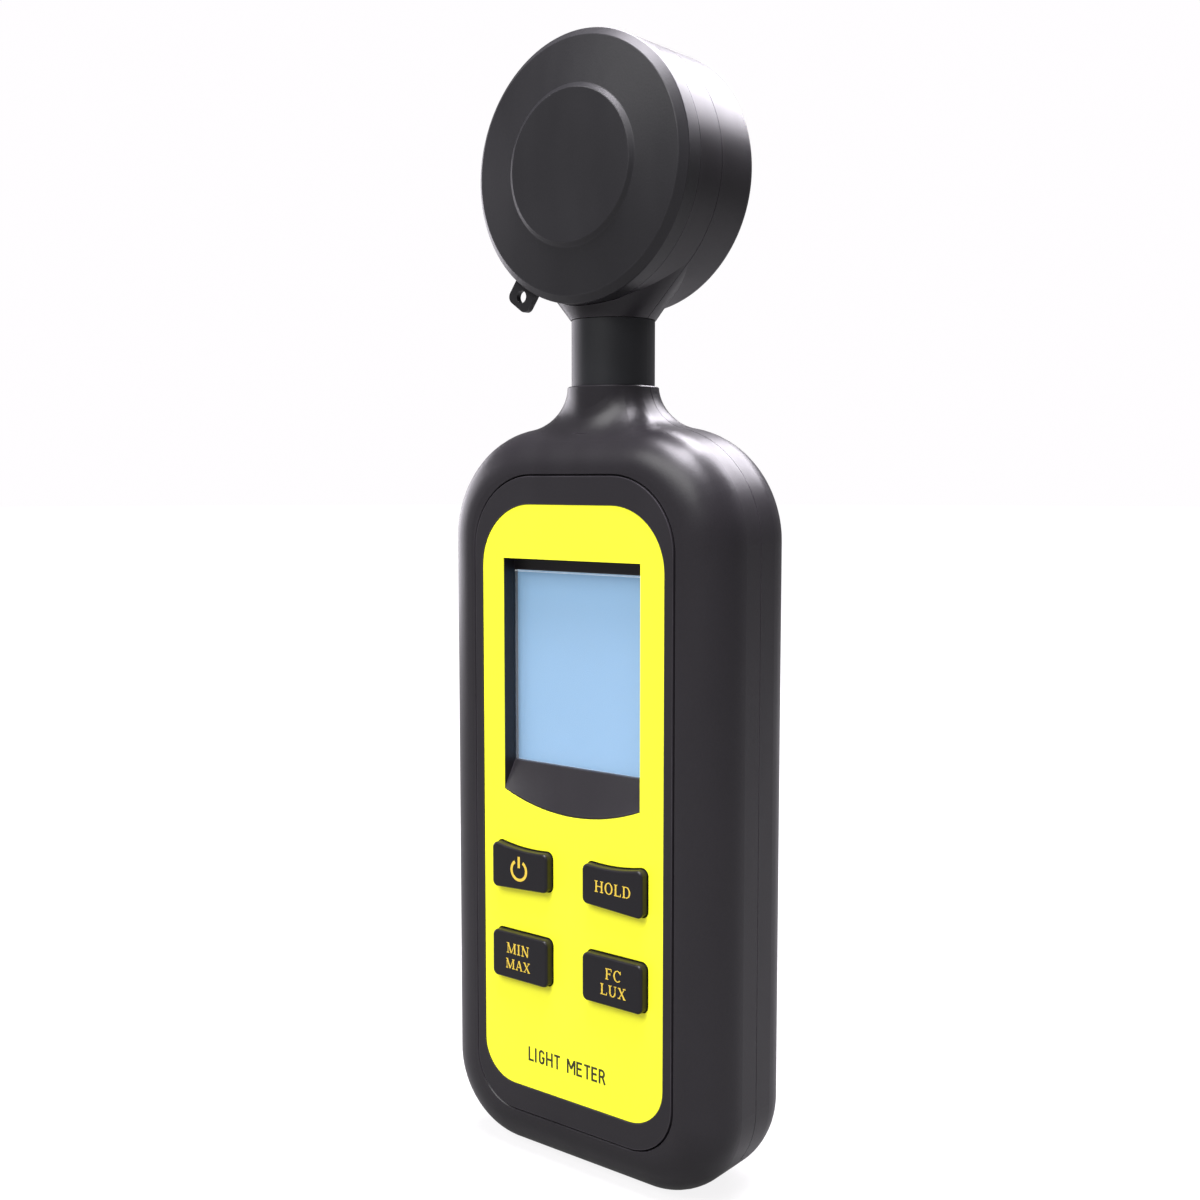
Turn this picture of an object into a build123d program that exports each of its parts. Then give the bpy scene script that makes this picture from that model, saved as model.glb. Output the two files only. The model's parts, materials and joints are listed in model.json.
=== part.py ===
from build123d import *
import os
from math import cos, radians, sin, sqrt

os.makedirs("parts", exist_ok=True)

# Handheld light meter with a turning sensor head, all sizes in millimetres.
# The origin is the centre of the base, on the plane where the two body shells part and on
# the axis the head turns about. +X is the user's right, -Y the display side, +Z the head's end.

# ---------------------------------------------------------------- driving dimensions
WALL = 2.0
SEAM = 0.12  # open hairline between two shells
RUNNING = 0.05  # radial clearance of a part that turns or slides in another

BODY_HALF_W = 28.0
BODY_HALF_D = 11.1
EDGE_R = 7.2  # rounding of the body's front and rear edges
BASE_CORNER_R = 14.2
SHOULDER_R = 17.9
SHOULDER_Z = 119.7
COLLAR_R = 7.3
COLLAR_TOP_Z = 126.1
COLLAR_FLARE_R = 7.8
COLLAR_CHAMFER = 0.15

NECK_R = 6.65
NECK_TOP_Z = 136.6
JOURNAL_R = 5.0
NECK_BORE_R = 3.2
SOCKET_R = 8.4
SOCKET_LOW_Z = 113.0

FACE_Y = -11.2  # front of the face bezel
LABEL_Y = -11.1  # front of the label, level with the front shell
BEZEL_BACK_Y = -9.7
BEZEL_HALF_W = 20.1
BEZEL_Z = (7.6, 112.2)
BEZEL_CORNERS = (8.3, 11.9)  # lower, upper
LABEL_HALF_W = 18.2
LABEL_Z = (12.1, 107.5)
LABEL_CORNERS = (6.4, 10.0)
LABEL_T = 0.15

WINDOW_HALF_W = 13.8
WINDOW_TOP_Z = 98.9
WINDOW_SIDE_LOW_Z = 61.1
WINDOW_LOW_Z = 58.35
DISPLAY_Z = (65.6, 96.9)
WELL_HALF_W = 15.3  # outside of the bezel's box round the display
WELL_Z = (57.0, 100.4)
WELL_FLOOR_Y = -8.4
WELL_BACK_Y = -7.6
LCD_FRONT_Y = -7.0

KEY_X = (3.6, 15.3)  # inner and outer side of a key
KEY_CORNER_R = 1.0
KEY_EDGE_R = 0.4
KEY_FRONT_Y = LABEL_Y - 1.5
KEY_FLANGE_Y = (BEZEL_BACK_Y + 0.05, -8.8)
KEY_GAP = 0.2
KEY_TRAVEL = 0.5
PLUNGER_TOP_Y = -7.6

PCB_Y = (-4.0, -2.8)
PCB_HALF_W = 24.0
PCB_Z = (17.0, 103.0)

CELL_R = 5.25
CELL_LENGTH = 44.5
CELL_Y = 3.9
CELL_PITCH = 11.2
BAY_HALF_W = 17.2
BAY_Z = (17.2, 68.2)
BAY_FRONT_Y = -1.5
COVER_T = 1.8
COVER_HALF_W = 18.5
COVER_Z = (16.2, 73.6)
COVER_SCREW_Z = 70.6

HEAD_Z = 159.1
HEAD_R = 20.6
HEAD_REAR_Y = 9.0
HEAD_REAR_ROUND = 1.2
HEAD_CAVITY_R = 16.2
HEAD_CAVITY_Y = (-6.0, 7.2)
CAP_REAR_Y = -5.7
SPIGOT_R = 19.34
SPIGOT_FRONT_Y = -8.0
DOME_R = 14.0
DOME_APEX_Y = -9.5
SENSOR_PCB_Y = (-2.6, -1.4)
TAB_ANGLE = 234.5
TAB_Y = (-7.2, -6.2)
TAB_HOLE_R = 1.0
TAB_HOLE_REACH = 22.6
TAB_TIP_REACH = 24.5
TAB_W = 4.9

BASE_SCREW = (13.5, 10.4)
TOP_SCREW = (14.0, 107.6)
CASE_SCREWS = [(sx * x, z) for x, z in (BASE_SCREW, TOP_SCREW) for sx in (-1, 1)]
PCB_SCREWS = [(sx * 21.8, z) for z in (21.0, 99.0) for sx in (-1, 1)]
HEAD_SCREW_RING_R = 18.2
BOARD_POST_RING_R = 13.4
HEAD_SCREW_ANGLES = (90, 210, 330)

# Keys: name, side (-1 left, 1 right), then the height of the lower and upper edge at the
# outer side, at the middle of the upper edge, and at the inner side.
KEYS = {
    "power": {"side": -1, "outer": (45.0, 52.7), "dip": 51.85, "inner": (45.65, 52.05)},
    "hold": {"side": 1, "outer": (45.0, 52.7), "dip": 51.85, "inner": (45.65, 52.05)},
    "min_max": {"side": -1, "outer": (30.15, 37.85), "dip": None, "inner": (30.15, 37.85)},
    "units": {"side": 1, "outer": (30.15, 37.85), "dip": None, "inner": (30.15, 37.85)},
}


# ---------------------------------------------------------------- helpers
def front_plane(y):
    """Upright plane at depth y: local x is X, local y is Z, and its normal points forward."""
    return Plane.XZ.offset(-y)


def upright_face(y, half_w, z_span, corners=(0, 0), x=0.0):
    """Upright rectangle at depth y with its lower and upper corners rounded."""
    with BuildSketch(front_plane(y)) as face:
        with Locations((x, sum(z_span) / 2)):
            Rectangle(2 * half_w, z_span[1] - z_span[0])
        if corners[0]:
            fillet(face.vertices().group_by(Axis.Y)[0], corners[0])
        if corners[1]:
            fillet(face.vertices().group_by(Axis.Y)[-1], corners[1])
    return face.sketch


def slab(half_w, z_span, y_span, corners=(0, 0), x=0.0, mode=Mode.ADD):
    """Upright rounded rectangle from the front depth y_span[0] back to y_span[1]."""
    face = upright_face(y_span[0], half_w, z_span, corners, x)
    extrude(face, amount=y_span[0] - y_span[1], mode=mode)


def peg(x, z, radius, y_span, mode=Mode.ADD):
    """Round peg or hole along Y at (x, z)."""
    with BuildSketch(front_plane(y_span[0])) as disc:
        with Locations((x, z)):
            Circle(radius)
    extrude(disc.sketch, amount=y_span[0] - y_span[1], mode=mode)


def post(radius, z_span, mode=Mode.ADD):
    """Round post or hole along Z on the head's turning axis."""
    with BuildSketch(Plane.XY.offset(z_span[0])) as disc:
        Circle(radius)
    extrude(disc.sketch, amount=z_span[1] - z_span[0], mode=mode)


def ring_sector(r_span, z_span, middle_deg, half_deg, mode=Mode.ADD):
    """Part of a ring about the head's turning axis."""
    low, high = middle_deg - half_deg, middle_deg + half_deg
    with BuildSketch(Plane.XY.offset(z_span[0])) as sector:
        with BuildLine():
            outer = CenterArc((0, 0), r_span[1], low, high - low)
            inner = CenterArc((0, 0), r_span[0], low, high - low)
            Line(outer @ 0, inner @ 0)
            Line(outer @ 1, inner @ 1)
        make_face()
    extrude(sector.sketch, amount=z_span[1] - z_span[0], mode=mode)


def turned(points, mode=Mode.ADD):
    """Solid turned about the head's own axis from (y, radius) points."""
    with BuildSketch(HEAD_SECTION) as profile:
        with BuildLine():
            Polyline(*points, close=True)
        make_face()
    revolve(profile.sketch, axis=HEAD_AXIS, mode=mode)


def on_head(angle, reach):
    """X and Z of a point of the head at an angle and distance from its centre."""
    return reach * cos(radians(angle)), HEAD_Z + reach * sin(radians(angle))


def body_outline(y, inset=0.0):
    """Front outline of the body at depth y, moved inwards by inset."""
    return upright_face(
        y,
        BODY_HALF_W - inset,
        (inset, SHOULDER_Z - inset),
        (BASE_CORNER_R - inset, SHOULDER_R - inset),
    )


def window_face(y):
    """Outline of the window: square above, with a bowed lower edge."""
    with BuildSketch(front_plane(y)) as face:
        with BuildLine():
            Polyline(
                (-WINDOW_HALF_W, WINDOW_SIDE_LOW_Z),
                (-WINDOW_HALF_W, WINDOW_TOP_Z),
                (WINDOW_HALF_W, WINDOW_TOP_Z),
                (WINDOW_HALF_W, WINDOW_SIDE_LOW_Z),
            )
            ThreePointArc(
                (WINDOW_HALF_W, WINDOW_SIDE_LOW_Z),
                (0, WINDOW_LOW_Z),
                (-WINDOW_HALF_W, WINDOW_SIDE_LOW_Z),
            )
        make_face()
    return face.sketch


def key_face(key, y, grow=0.0):
    """Outline of a key at depth y, moved outwards by grow."""
    inner, outer = (key["side"] * x for x in KEY_X)
    with BuildSketch(front_plane(y)) as face:
        with BuildLine():
            Polyline(
                (outer, key["outer"][1]),
                (outer, key["outer"][0]),
                (inner, key["inner"][0]),
                (inner, key["inner"][1]),
            )
            if key["dip"]:
                ThreePointArc(
                    (inner, key["inner"][1]),
                    ((inner + outer) / 2, key["dip"]),
                    (outer, key["outer"][1]),
                )
            else:
                Line((inner, key["inner"][1]), (outer, key["outer"][1]))
        make_face()
        fillet(face.vertices(), KEY_CORNER_R)
        if grow:
            offset(amount=grow)
    return face.sketch


def key_middle(key):
    """X and Z of a key's middle."""
    return key["side"] * sum(KEY_X) / 2, sum(key["outer"] + key["inner"]) / 4


def save(part, name):
    part.label = name
    export_step(part, f"parts/{name}.step")


HEAD_SECTION = Plane(origin=(0, 0, HEAD_Z), x_dir=(0, 1, 0), z_dir=(1, 0, 0))
HEAD_AXIS = Axis((0, 0, HEAD_Z), (0, 1, 0))

# ---------------------------------------------------------------- body form and cavity
with BuildPart() as body_form:
    extrude(body_outline(-BODY_HALF_D), amount=-2 * BODY_HALF_D)
    rims = body_form.edges().filter_by(lambda e: abs(abs(e.center().Y) - BODY_HALF_D) < 0.001)
    fillet(rims, EDGE_R)
    post(COLLAR_R, (SOCKET_LOW_Z, COLLAR_TOP_Z + COLLAR_FLARE_R))
    collar_root = body_form.edges().filter_by(
        lambda e: abs(Vector(e.position_at(0.4).X, e.position_at(0.4).Y).length - COLLAR_R) < 0.01
        and SOCKET_LOW_Z < e.position_at(0.4).Z < COLLAR_TOP_Z
    )
    fillet(collar_root, COLLAR_FLARE_R)
    split(bisect_by=Plane.XY.offset(COLLAR_TOP_Z), keep=Keep.BOTTOM)
    chamfer(body_form.faces().sort_by(Axis.Z)[-1].edges(), COLLAR_CHAMFER)

with BuildPart() as cavity_form:
    cavity_half_d = BODY_HALF_D - WALL
    extrude(body_outline(-cavity_half_d, WALL), amount=-2 * cavity_half_d)
    rims = cavity_form.edges().filter_by(lambda e: abs(abs(e.center().Y) - cavity_half_d) < 0.001)
    fillet(rims, EDGE_R - WALL)

# The whole shell before it is parted: walls, and the socket that the neck turns in.
with BuildPart() as shell_form:
    add(body_form.part)
    add(cavity_form.part, mode=Mode.SUBTRACT)
    post(SOCKET_R, (SOCKET_LOW_Z, SHOULDER_Z - WALL / 2))
    post(JOURNAL_R + RUNNING, (SOCKET_LOW_Z, COLLAR_TOP_Z), mode=Mode.SUBTRACT)

TONGUE_IN = 1.05
TONGUE_REACH = 1.2
TONGUE_TOP_Z = 103.0


def tongue_ring(outer_inset, inner_inset, y_span, mode):
    """Ring along the parting line, round the base and up both sides."""
    outer = body_outline(y_span[0], outer_inset)
    inner = body_outline(y_span[0], inner_inset)
    above = upright_face(y_span[0], BODY_HALF_W, (TONGUE_TOP_Z, SHOULDER_Z))
    extrude(outer - inner - above, amount=y_span[0] - y_span[1], mode=mode)


# ---------------------------------------------------------------- front shell
RECESS_GAP = 0.04
RECESS_CHAMFER = 0.12
TRAY_GROW = 1.3
WELL_GAP = 0.3
TRAY_Y = (BEZEL_BACK_Y + RUNNING, -8.05)
STANDOFF_R = 2.3
CASE_BOSS_R = 3.0
CASE_SHANK_R = 1.3
CASE_TIP_Y = -6.2
PCB_SHANK_R = 0.9
PCB_TIP_Y = -7.6
KEY_FLANGE = 0.9

with BuildPart() as front_shell:
    add(shell_form.part)
    split(bisect_by=front_plane(-SEAM / 2), keep=Keep.TOP)
    slab(
        BEZEL_HALF_W + TRAY_GROW,
        (BEZEL_Z[0] - TRAY_GROW, BEZEL_Z[1] + TRAY_GROW),
        TRAY_Y,
        (BEZEL_CORNERS[0] + TRAY_GROW, BEZEL_CORNERS[1] + TRAY_GROW),
    )
    tongue_ring(TONGUE_IN, WALL, (-1.0, TONGUE_REACH), Mode.ADD)
    for x, z in CASE_SCREWS:
        peg(x, z, CASE_BOSS_R, (TRAY_Y[0], -SEAM / 2))
    for x, z in PCB_SCREWS:
        peg(x, z, STANDOFF_R, (TRAY_Y[0], PCB_Y[0] - 0.02))
    # recess for the bezel, and the openings behind it for the display well and the keys
    slab(
        BEZEL_HALF_W + RECESS_GAP,
        (BEZEL_Z[0] - RECESS_GAP, BEZEL_Z[1] + RECESS_GAP),
        (-BODY_HALF_D - 1, TRAY_Y[0]),
        (BEZEL_CORNERS[0] + RECESS_GAP, BEZEL_CORNERS[1] + RECESS_GAP),
        mode=Mode.SUBTRACT,
    )
    recess_rim = front_shell.faces().filter_by(
        lambda f: f.geom_type == GeomType.PLANE and abs(f.center().Y + BODY_HALF_D) < 0.001
    )
    chamfer(recess_rim[0].inner_wires()[0].edges(), RECESS_CHAMFER)
    slab(
        WELL_HALF_W + WELL_GAP,
        (WELL_Z[0] - WELL_GAP, WELL_Z[1] + WELL_GAP),
        (TRAY_Y[0], TRAY_Y[1] + 1),
        mode=Mode.SUBTRACT,
    )
    for key in KEYS.values():
        opening = key_face(key, TRAY_Y[0] - 0.5, KEY_FLANGE + 0.4)
        extrude(opening, amount=-3, mode=Mode.SUBTRACT)
    for x, z in CASE_SCREWS:
        peg(x, z, CASE_SHANK_R + 0.02, (CASE_TIP_Y - 0.3, 1), mode=Mode.SUBTRACT)
    for x, z in PCB_SCREWS:
        peg(x, z, PCB_SHANK_R + 0.02, (PCB_TIP_Y - 0.3, 1), mode=Mode.SUBTRACT)
save(front_shell.part, "front_shell")

# ---------------------------------------------------------------- rear shell
BAY_WALL = 2.4
BAY_FLOOR_T = 1.0
RIB_HALF_W = 0.6
COVER_SEAT_Y = BODY_HALF_D - COVER_T - 0.1
CASE_HEAD_Y = 4.0
STOP_MIDDLE, STOP_HALF = 90, 24
LUG_MIDDLE, LUG_HALF = -135, 20
HOOKS_X = (-5.0, 5.0)
HOOK_HALF_W = 2.0
HOOK_Y = (7.0, 8.0)
HOOK_LOW_Z = 15.2
LIP_Y = 8.3
COVER_SCREW_HOLE_R = 1.35
CASE_HEAD_HOLE_R = 2.6
REAR_CHAMFER = 0.2

with BuildPart() as rear_shell:
    add(shell_form.part)
    split(bisect_by=front_plane(SEAM / 2), keep=Keep.BOTTOM)
    tongue_ring(TONGUE_IN - 0.05, WALL + 1, (0, TONGUE_REACH + 0.1), Mode.SUBTRACT)
    slab(
        BAY_HALF_W + BAY_WALL,
        (BAY_Z[0] - BAY_WALL - 0.8, BAY_Z[1] + 6.4),
        (BAY_FRONT_Y - BAY_FLOOR_T, BODY_HALF_D - WALL / 2),
    )
    for x, z in CASE_SCREWS:
        peg(x, z, CASE_BOSS_R + 0.4, (SEAM / 2, BODY_HALF_D - WALL / 2))
    # the stop that the neck's lug meets at both ends of the head's turn
    ring_sector((7.0, SOCKET_R), (111.0, SOCKET_LOW_Z + 0.5), STOP_MIDDLE, STOP_HALF)
    # seat for the cover, the bay itself, and ribs between the cells
    slab(
        COVER_HALF_W + 0.2,
        (COVER_Z[0] - 0.2, COVER_Z[1] + 0.2),
        (COVER_SEAT_Y, BODY_HALF_D + 1),
        (2.5, 2.5),
        mode=Mode.SUBTRACT,
    )
    slab(BAY_HALF_W, BAY_Z, (BAY_FRONT_Y, BODY_HALF_D), mode=Mode.SUBTRACT)
    for side in (-1, 1):
        rib_z = (BAY_Z[0] + 2, BAY_Z[1] - 2)
        slab(RIB_HALF_W, rib_z, (BAY_FRONT_Y, 1.6), x=side * CELL_PITCH / 2)
    for x in HOOKS_X:
        slab(
            HOOK_HALF_W + 0.3,
            (HOOK_LOW_Z - 0.3, BAY_Z[0]),
            (HOOK_Y[0] - 0.4, LIP_Y),
            x=x,
            mode=Mode.SUBTRACT,
        )
    peg(0, COVER_SCREW_Z, COVER_SCREW_HOLE_R, (4.6, BODY_HALF_D), mode=Mode.SUBTRACT)
    for x, z in CASE_SCREWS:
        peg(x, z, CASE_SHANK_R + 0.15, (0, BODY_HALF_D), mode=Mode.SUBTRACT)
        peg(x, z, CASE_HEAD_HOLE_R, (CASE_HEAD_Y, BODY_HALF_D + 1), mode=Mode.SUBTRACT)
    # broken edges round the screw wells and the cover's seat
    rear_face = rear_shell.faces().filter_by(
        lambda f: f.geom_type == GeomType.PLANE and abs(f.center().Y - BODY_HALF_D) < 0.001
    )[0]
    chamfer([edge for wire in rear_face.inner_wires() for edge in wire.edges()], REAR_CHAMFER)
save(rear_shell.part, "rear_shell")

# ---------------------------------------------------------------- case screws
def cross_screw(head_r, head_y, head_t, shank_r, tip_y, recess, spots):
    """Pan-head screws with a cross recess, entered from the rear."""
    for x, z in spots:
        peg(x, z, head_r, (head_y, head_y + head_t))
        peg(x, z, shank_r, (tip_y, head_y))
        for half_w, half_h in ((recess, recess / 4), (recess / 4, recess)):
            slab(
                half_w,
                (z - half_h, z + half_h),
                (head_y + head_t * 0.45, head_y + head_t + 1),
                x=x,
                mode=Mode.SUBTRACT,
            )


with BuildPart() as case_screws:
    cross_screw(2.3, CASE_HEAD_Y + 0.02, 1.7, CASE_SHANK_R, CASE_TIP_Y, 1.3, CASE_SCREWS)
save(case_screws.part, "case_screws")

# ---------------------------------------------------------------- face bezel and label
BEVEL_W = 0.7
BEVEL_DROP = 0.25

with BuildPart() as face_bezel:
    slab(BEZEL_HALF_W, BEZEL_Z, (FACE_Y, BEZEL_BACK_Y), BEZEL_CORNERS)
    front_rim = face_bezel.faces().sort_by(Axis.Y)[0].edges()
    chamfer(front_rim, BEVEL_DROP, BEVEL_W, reference=face_bezel.faces().sort_by(Axis.Y)[0])
    slab(WELL_HALF_W, WELL_Z, (BEZEL_BACK_Y, WELL_BACK_Y))
    # shallow seat for the label
    slab(
        LABEL_HALF_W + 0.1,
        (LABEL_Z[0] - 0.1, LABEL_Z[1] + 0.1),
        (FACE_Y - 1, LABEL_Y + LABEL_T),
        (LABEL_CORNERS[0] + 0.1, LABEL_CORNERS[1] + 0.1),
        mode=Mode.SUBTRACT,
    )
    # the window, and a sill that slopes from its bowed lower edge to the display
    extrude(window_face(FACE_Y - 1), amount=-1.2, mode=Mode.SUBTRACT)
    sill_foot = upright_face(WELL_FLOOR_Y, WINDOW_HALF_W, (DISPLAY_Z[0], WINDOW_TOP_Z))
    loft([window_face(LABEL_Y), sill_foot], ruled=True, mode=Mode.SUBTRACT)
    slab(
        WINDOW_HALF_W,
        DISPLAY_Z,
        (WELL_FLOOR_Y - 0.01, WELL_BACK_Y + 1),
        mode=Mode.SUBTRACT,
    )
    for key in KEYS.values():
        hole = key_face(key, FACE_Y - 0.5, KEY_GAP)
        extrude(hole, amount=-3, mode=Mode.SUBTRACT)
save(face_bezel.part, "face_bezel")

with BuildPart() as face_label:
    slab(LABEL_HALF_W, LABEL_Z, (LABEL_Y, LABEL_Y + LABEL_T - 0.01), LABEL_CORNERS)
    extrude(window_face(LABEL_Y - 0.5), amount=-1, mode=Mode.SUBTRACT)
    for key in KEYS.values():
        hole = key_face(key, LABEL_Y - 0.5, KEY_GAP)
        extrude(hole, amount=-1, mode=Mode.SUBTRACT)
save(face_label.part, "face_label")

# ---------------------------------------------------------------- display
with BuildPart() as window_lens:
    slab(
        WINDOW_HALF_W - 0.08,
        (DISPLAY_Z[0] + 0.08, DISPLAY_Z[1] - 0.08),
        (WELL_FLOOR_Y - 0.1, WELL_BACK_Y + 0.01),
    )
    chamfer(window_lens.faces().sort_by(Axis.Y)[0].edges(), 0.15)
    slab(
        WINDOW_HALF_W + 1.1,
        (DISPLAY_Z[0] - 0.9, DISPLAY_Z[1] + 0.9),
        (WELL_BACK_Y + 0.01, LCD_FRONT_Y - 0.02),
    )
save(window_lens.part, "window_lens")

LCD_HALF_W = 16.2
LCD_Z = (61.6, 99.6)
LEDGE_H = 3.0  # part of the rear glass that the contact strip presses on
GLASS_T = 0.75
LCD_FRAME_W = 1.8

with BuildPart() as lcd_panel:
    slab(LCD_HALF_W, (LCD_Z[0] + LEDGE_H, LCD_Z[1]), (LCD_FRONT_Y, LCD_FRONT_Y + GLASS_T))
    slab(LCD_HALF_W, LCD_Z, (LCD_FRONT_Y + GLASS_T, LCD_FRONT_Y + 2 * GLASS_T))
save(lcd_panel.part, "lcd_panel")

BACKLIGHT_Y = (LCD_FRONT_Y + 2 * GLASS_T + 0.05, PCB_Y[0] - 0.1)

with BuildPart() as lcd_backlight:
    slab(
        LCD_HALF_W - 0.6,
        (LCD_Z[0] + LEDGE_H + 0.4, LCD_Z[1] - 0.6),
        BACKLIGHT_Y,
        (0.8, 0.8),
    )
save(lcd_backlight.part, "lcd_backlight")

with BuildPart() as zebra_strip:
    slab(14.0, (LCD_Z[0] + 0.3, LCD_Z[0] + LEDGE_H - 0.3), BACKLIGHT_Y)
save(zebra_strip.part, "zebra_strip")

with BuildPart() as lcd_frame:
    slab(
        LCD_HALF_W + LCD_FRAME_W,
        (LCD_Z[0] - LCD_FRAME_W, LCD_Z[1] + LCD_FRAME_W),
        (WELL_BACK_Y + 0.1, PCB_Y[0] - 0.05),
        (1.0, 1.0),
    )
    slab(
        LCD_HALF_W + 0.1,
        (LCD_Z[0] - 0.1, LCD_Z[1] + 0.1),
        (WELL_BACK_Y, PCB_Y[0]),
        mode=Mode.SUBTRACT,
    )
save(lcd_frame.part, "lcd_frame")

# ---------------------------------------------------------------- keys and switches
SWITCH_HALF = 3.0
SWITCH_FRONT_Y = -6.6
PLUNGER_R = 1.7
PLUNGER_Y = (PLUNGER_TOP_Y, -5.3)

for name, key in KEYS.items():
    x, z = key_middle(key)
    with BuildPart() as key_cap:
        extrude(key_face(key, KEY_FRONT_Y), amount=KEY_FRONT_Y - KEY_FLANGE_Y[0])
        fillet(key_cap.faces().sort_by(Axis.Y)[0].edges(), KEY_EDGE_R)
        flange = key_face(key, KEY_FLANGE_Y[0], KEY_FLANGE)
        extrude(flange, amount=KEY_FLANGE_Y[0] - KEY_FLANGE_Y[1])
        peg(x, z, 2.0, (KEY_FLANGE_Y[1], PLUNGER_TOP_Y))
    save(key_cap.part, f"key_{name}")

    with BuildPart() as plunger:
        peg(x, z, PLUNGER_R, PLUNGER_Y)
    save(plunger.part, f"plunger_{name}")

with BuildPart() as tact_switches:
    for key in KEYS.values():
        x, z = key_middle(key)
        slab(SWITCH_HALF, (z - SWITCH_HALF, z + SWITCH_HALF), (SWITCH_FRONT_Y, PCB_Y[0]), x=x)
        well_y = (SWITCH_FRONT_Y, PLUNGER_Y[1] + KEY_TRAVEL + 0.2)
        peg(x, z, PLUNGER_R + 0.1, well_y, mode=Mode.SUBTRACT)
save(tact_switches.part, "tact_switches")

# ---------------------------------------------------------------- main board
with BuildPart() as main_pcb:
    slab(PCB_HALF_W, PCB_Z, PCB_Y, (3.0, 3.0))
    for x, z in PCB_SCREWS:
        peg(x, z, 1.1, (PCB_Y[0] - 1, PCB_Y[1] + 1), mode=Mode.SUBTRACT)
save(main_pcb.part, "main_pcb")

with BuildPart() as pcb_screws:
    cross_screw(1.8, PCB_Y[1] + 0.01, 1.2, PCB_SHANK_R, PCB_TIP_Y, 1.0, PCB_SCREWS)
save(pcb_screws.part, "pcb_screws")

CHIP_X, CHIP_Z, CHIP_HALF = -6.0, 84.0, 5.0
PIN_COUNT = 8
PIN_PITCH = 1.0

with BuildPart() as main_chip:
    chip_y = (PCB_Y[1] + 0.1, PCB_Y[1] + 1.7)
    slab(CHIP_HALF, (CHIP_Z - CHIP_HALF, CHIP_Z + CHIP_HALF), chip_y, x=CHIP_X)
    chamfer(main_chip.faces().sort_by(Axis.Y)[-1].edges(), 0.2)
    with BuildSketch(front_plane(PCB_Y[1])) as pins:
        with Locations((CHIP_X, CHIP_Z)):
            for grid, pin in (
                (GridLocations(2 * CHIP_HALF + 0.6, PIN_PITCH, 2, PIN_COUNT), (1.0, 0.4)),
                (GridLocations(PIN_PITCH, 2 * CHIP_HALF + 0.6, PIN_COUNT, 2), (0.4, 1.0)),
            ):
                with grid:
                    Rectangle(*pin)
    extrude(pins.sketch, amount=-0.6)
save(main_chip.part, "main_chip")

CRYSTAL_X, CRYSTAL_Z = 9.5, (79.5, 83.5)
CRYSTAL_HALF_W, CRYSTAL_END_R, CRYSTAL_H = 4.6, 1.9, 3.4

with BuildPart() as crystal_can:
    slab(
        CRYSTAL_HALF_W,
        CRYSTAL_Z,
        (PCB_Y[1], PCB_Y[1] + CRYSTAL_H),
        (CRYSTAL_END_R, CRYSTAL_END_R),
        x=CRYSTAL_X,
    )
save(crystal_can.part, "crystal_can")

CAPACITOR_SPOTS = ((14.5, 92.0), (-17.5, 92.0))
CAPACITOR_R, CAPACITOR_H = 2.5, 5.4
CHIP_PART_HALF_W, CHIP_PART_HALF_H, CHIP_PART_T = 1.0, 0.6, 0.7
CHIP_PART_GRID = [(5.0 + 3.0 * i, 76.5 + 14.5 * j) for i in range(4) for j in range(2)]

with BuildPart() as board_parts:
    for x, z in CAPACITOR_SPOTS:
        peg(x, z, CAPACITOR_R, (PCB_Y[1], PCB_Y[1] + CAPACITOR_H))
    for x, z in CHIP_PART_GRID:
        part_z = (z - CHIP_PART_HALF_H, z + CHIP_PART_HALF_H)
        slab(CHIP_PART_HALF_W, part_z, (PCB_Y[1], PCB_Y[1] + CHIP_PART_T), x=x)
save(board_parts.part, "board_parts")

# Header on the board's rear and the plug of the sensor lead, which rises on the turning axis.
HEADER_HALF_W, HEADER_Z, HEADER_REAR_Y = 5.0, (92.5, 100.5), 3.2
PLUG_HALF_W, PLUG_Z, PLUG_Y = 3.5, (96.5, 103.5), (-1.6, 2.0)
PLUG_PLAY = 0.1
PLUG_RIB_X, PLUG_RIB_HALF_W, PLUG_RIB_L, PLUG_RIB_H = 2.2, 0.5, 2.0, 0.6
LEAD_R = 1.25

with BuildPart() as board_header:
    slab(HEADER_HALF_W, HEADER_Z, (PCB_Y[1], HEADER_REAR_Y))
    slab(
        PLUG_HALF_W + PLUG_PLAY,
        (PLUG_Z[0] - PLUG_PLAY, HEADER_Z[1] + 0.5),
        (PLUG_Y[0] - PLUG_PLAY, PLUG_Y[1] + PLUG_PLAY),
        mode=Mode.SUBTRACT,
    )
save(board_header.part, "board_header")

with BuildPart() as lead_plug:
    slab(PLUG_HALF_W, PLUG_Z, PLUG_Y)
    for side in (-1, 1):
        slab(
            PLUG_RIB_HALF_W,
            (PLUG_Z[1] - PLUG_RIB_L, PLUG_Z[1]),
            (PLUG_Y[1], PLUG_Y[1] + PLUG_RIB_H),
            x=side * PLUG_RIB_X,
        )
save(lead_plug.part, "lead_plug")

# ---------------------------------------------------------------- cells, springs, contacts
CONTACT_T = 0.4
CONTACT_Y = (0.2, 6.8)
NUB_H = 0.8
NUB_R = 1.9
DIMPLE_H = 1.0
DIMPLE_R = 1.6
SINGLE_STRIP, SHARED_STRIP = 4.6, 10.2  # half widths of the contact strips
WIRE_R = 0.3
SPRING_COIL_R = 2.6
CONTACT_LOW = (BAY_Z[0], BAY_Z[0] + CONTACT_T)
CONTACT_HIGH = (BAY_Z[1] - CONTACT_T, BAY_Z[1])
CELLS = ((-CELL_PITCH, 1), (0.0, -1), (CELL_PITCH, 1))  # x, and which way the positive end points


def cell_span(points):
    """Lowest and highest point of a cell whose positive end points up (1) or down (-1)."""
    if points > 0:
        top = CONTACT_HIGH[0] - DIMPLE_H
        return top - CELL_LENGTH, top
    low = CONTACT_LOW[1] + DIMPLE_H
    return low, low + CELL_LENGTH


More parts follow.
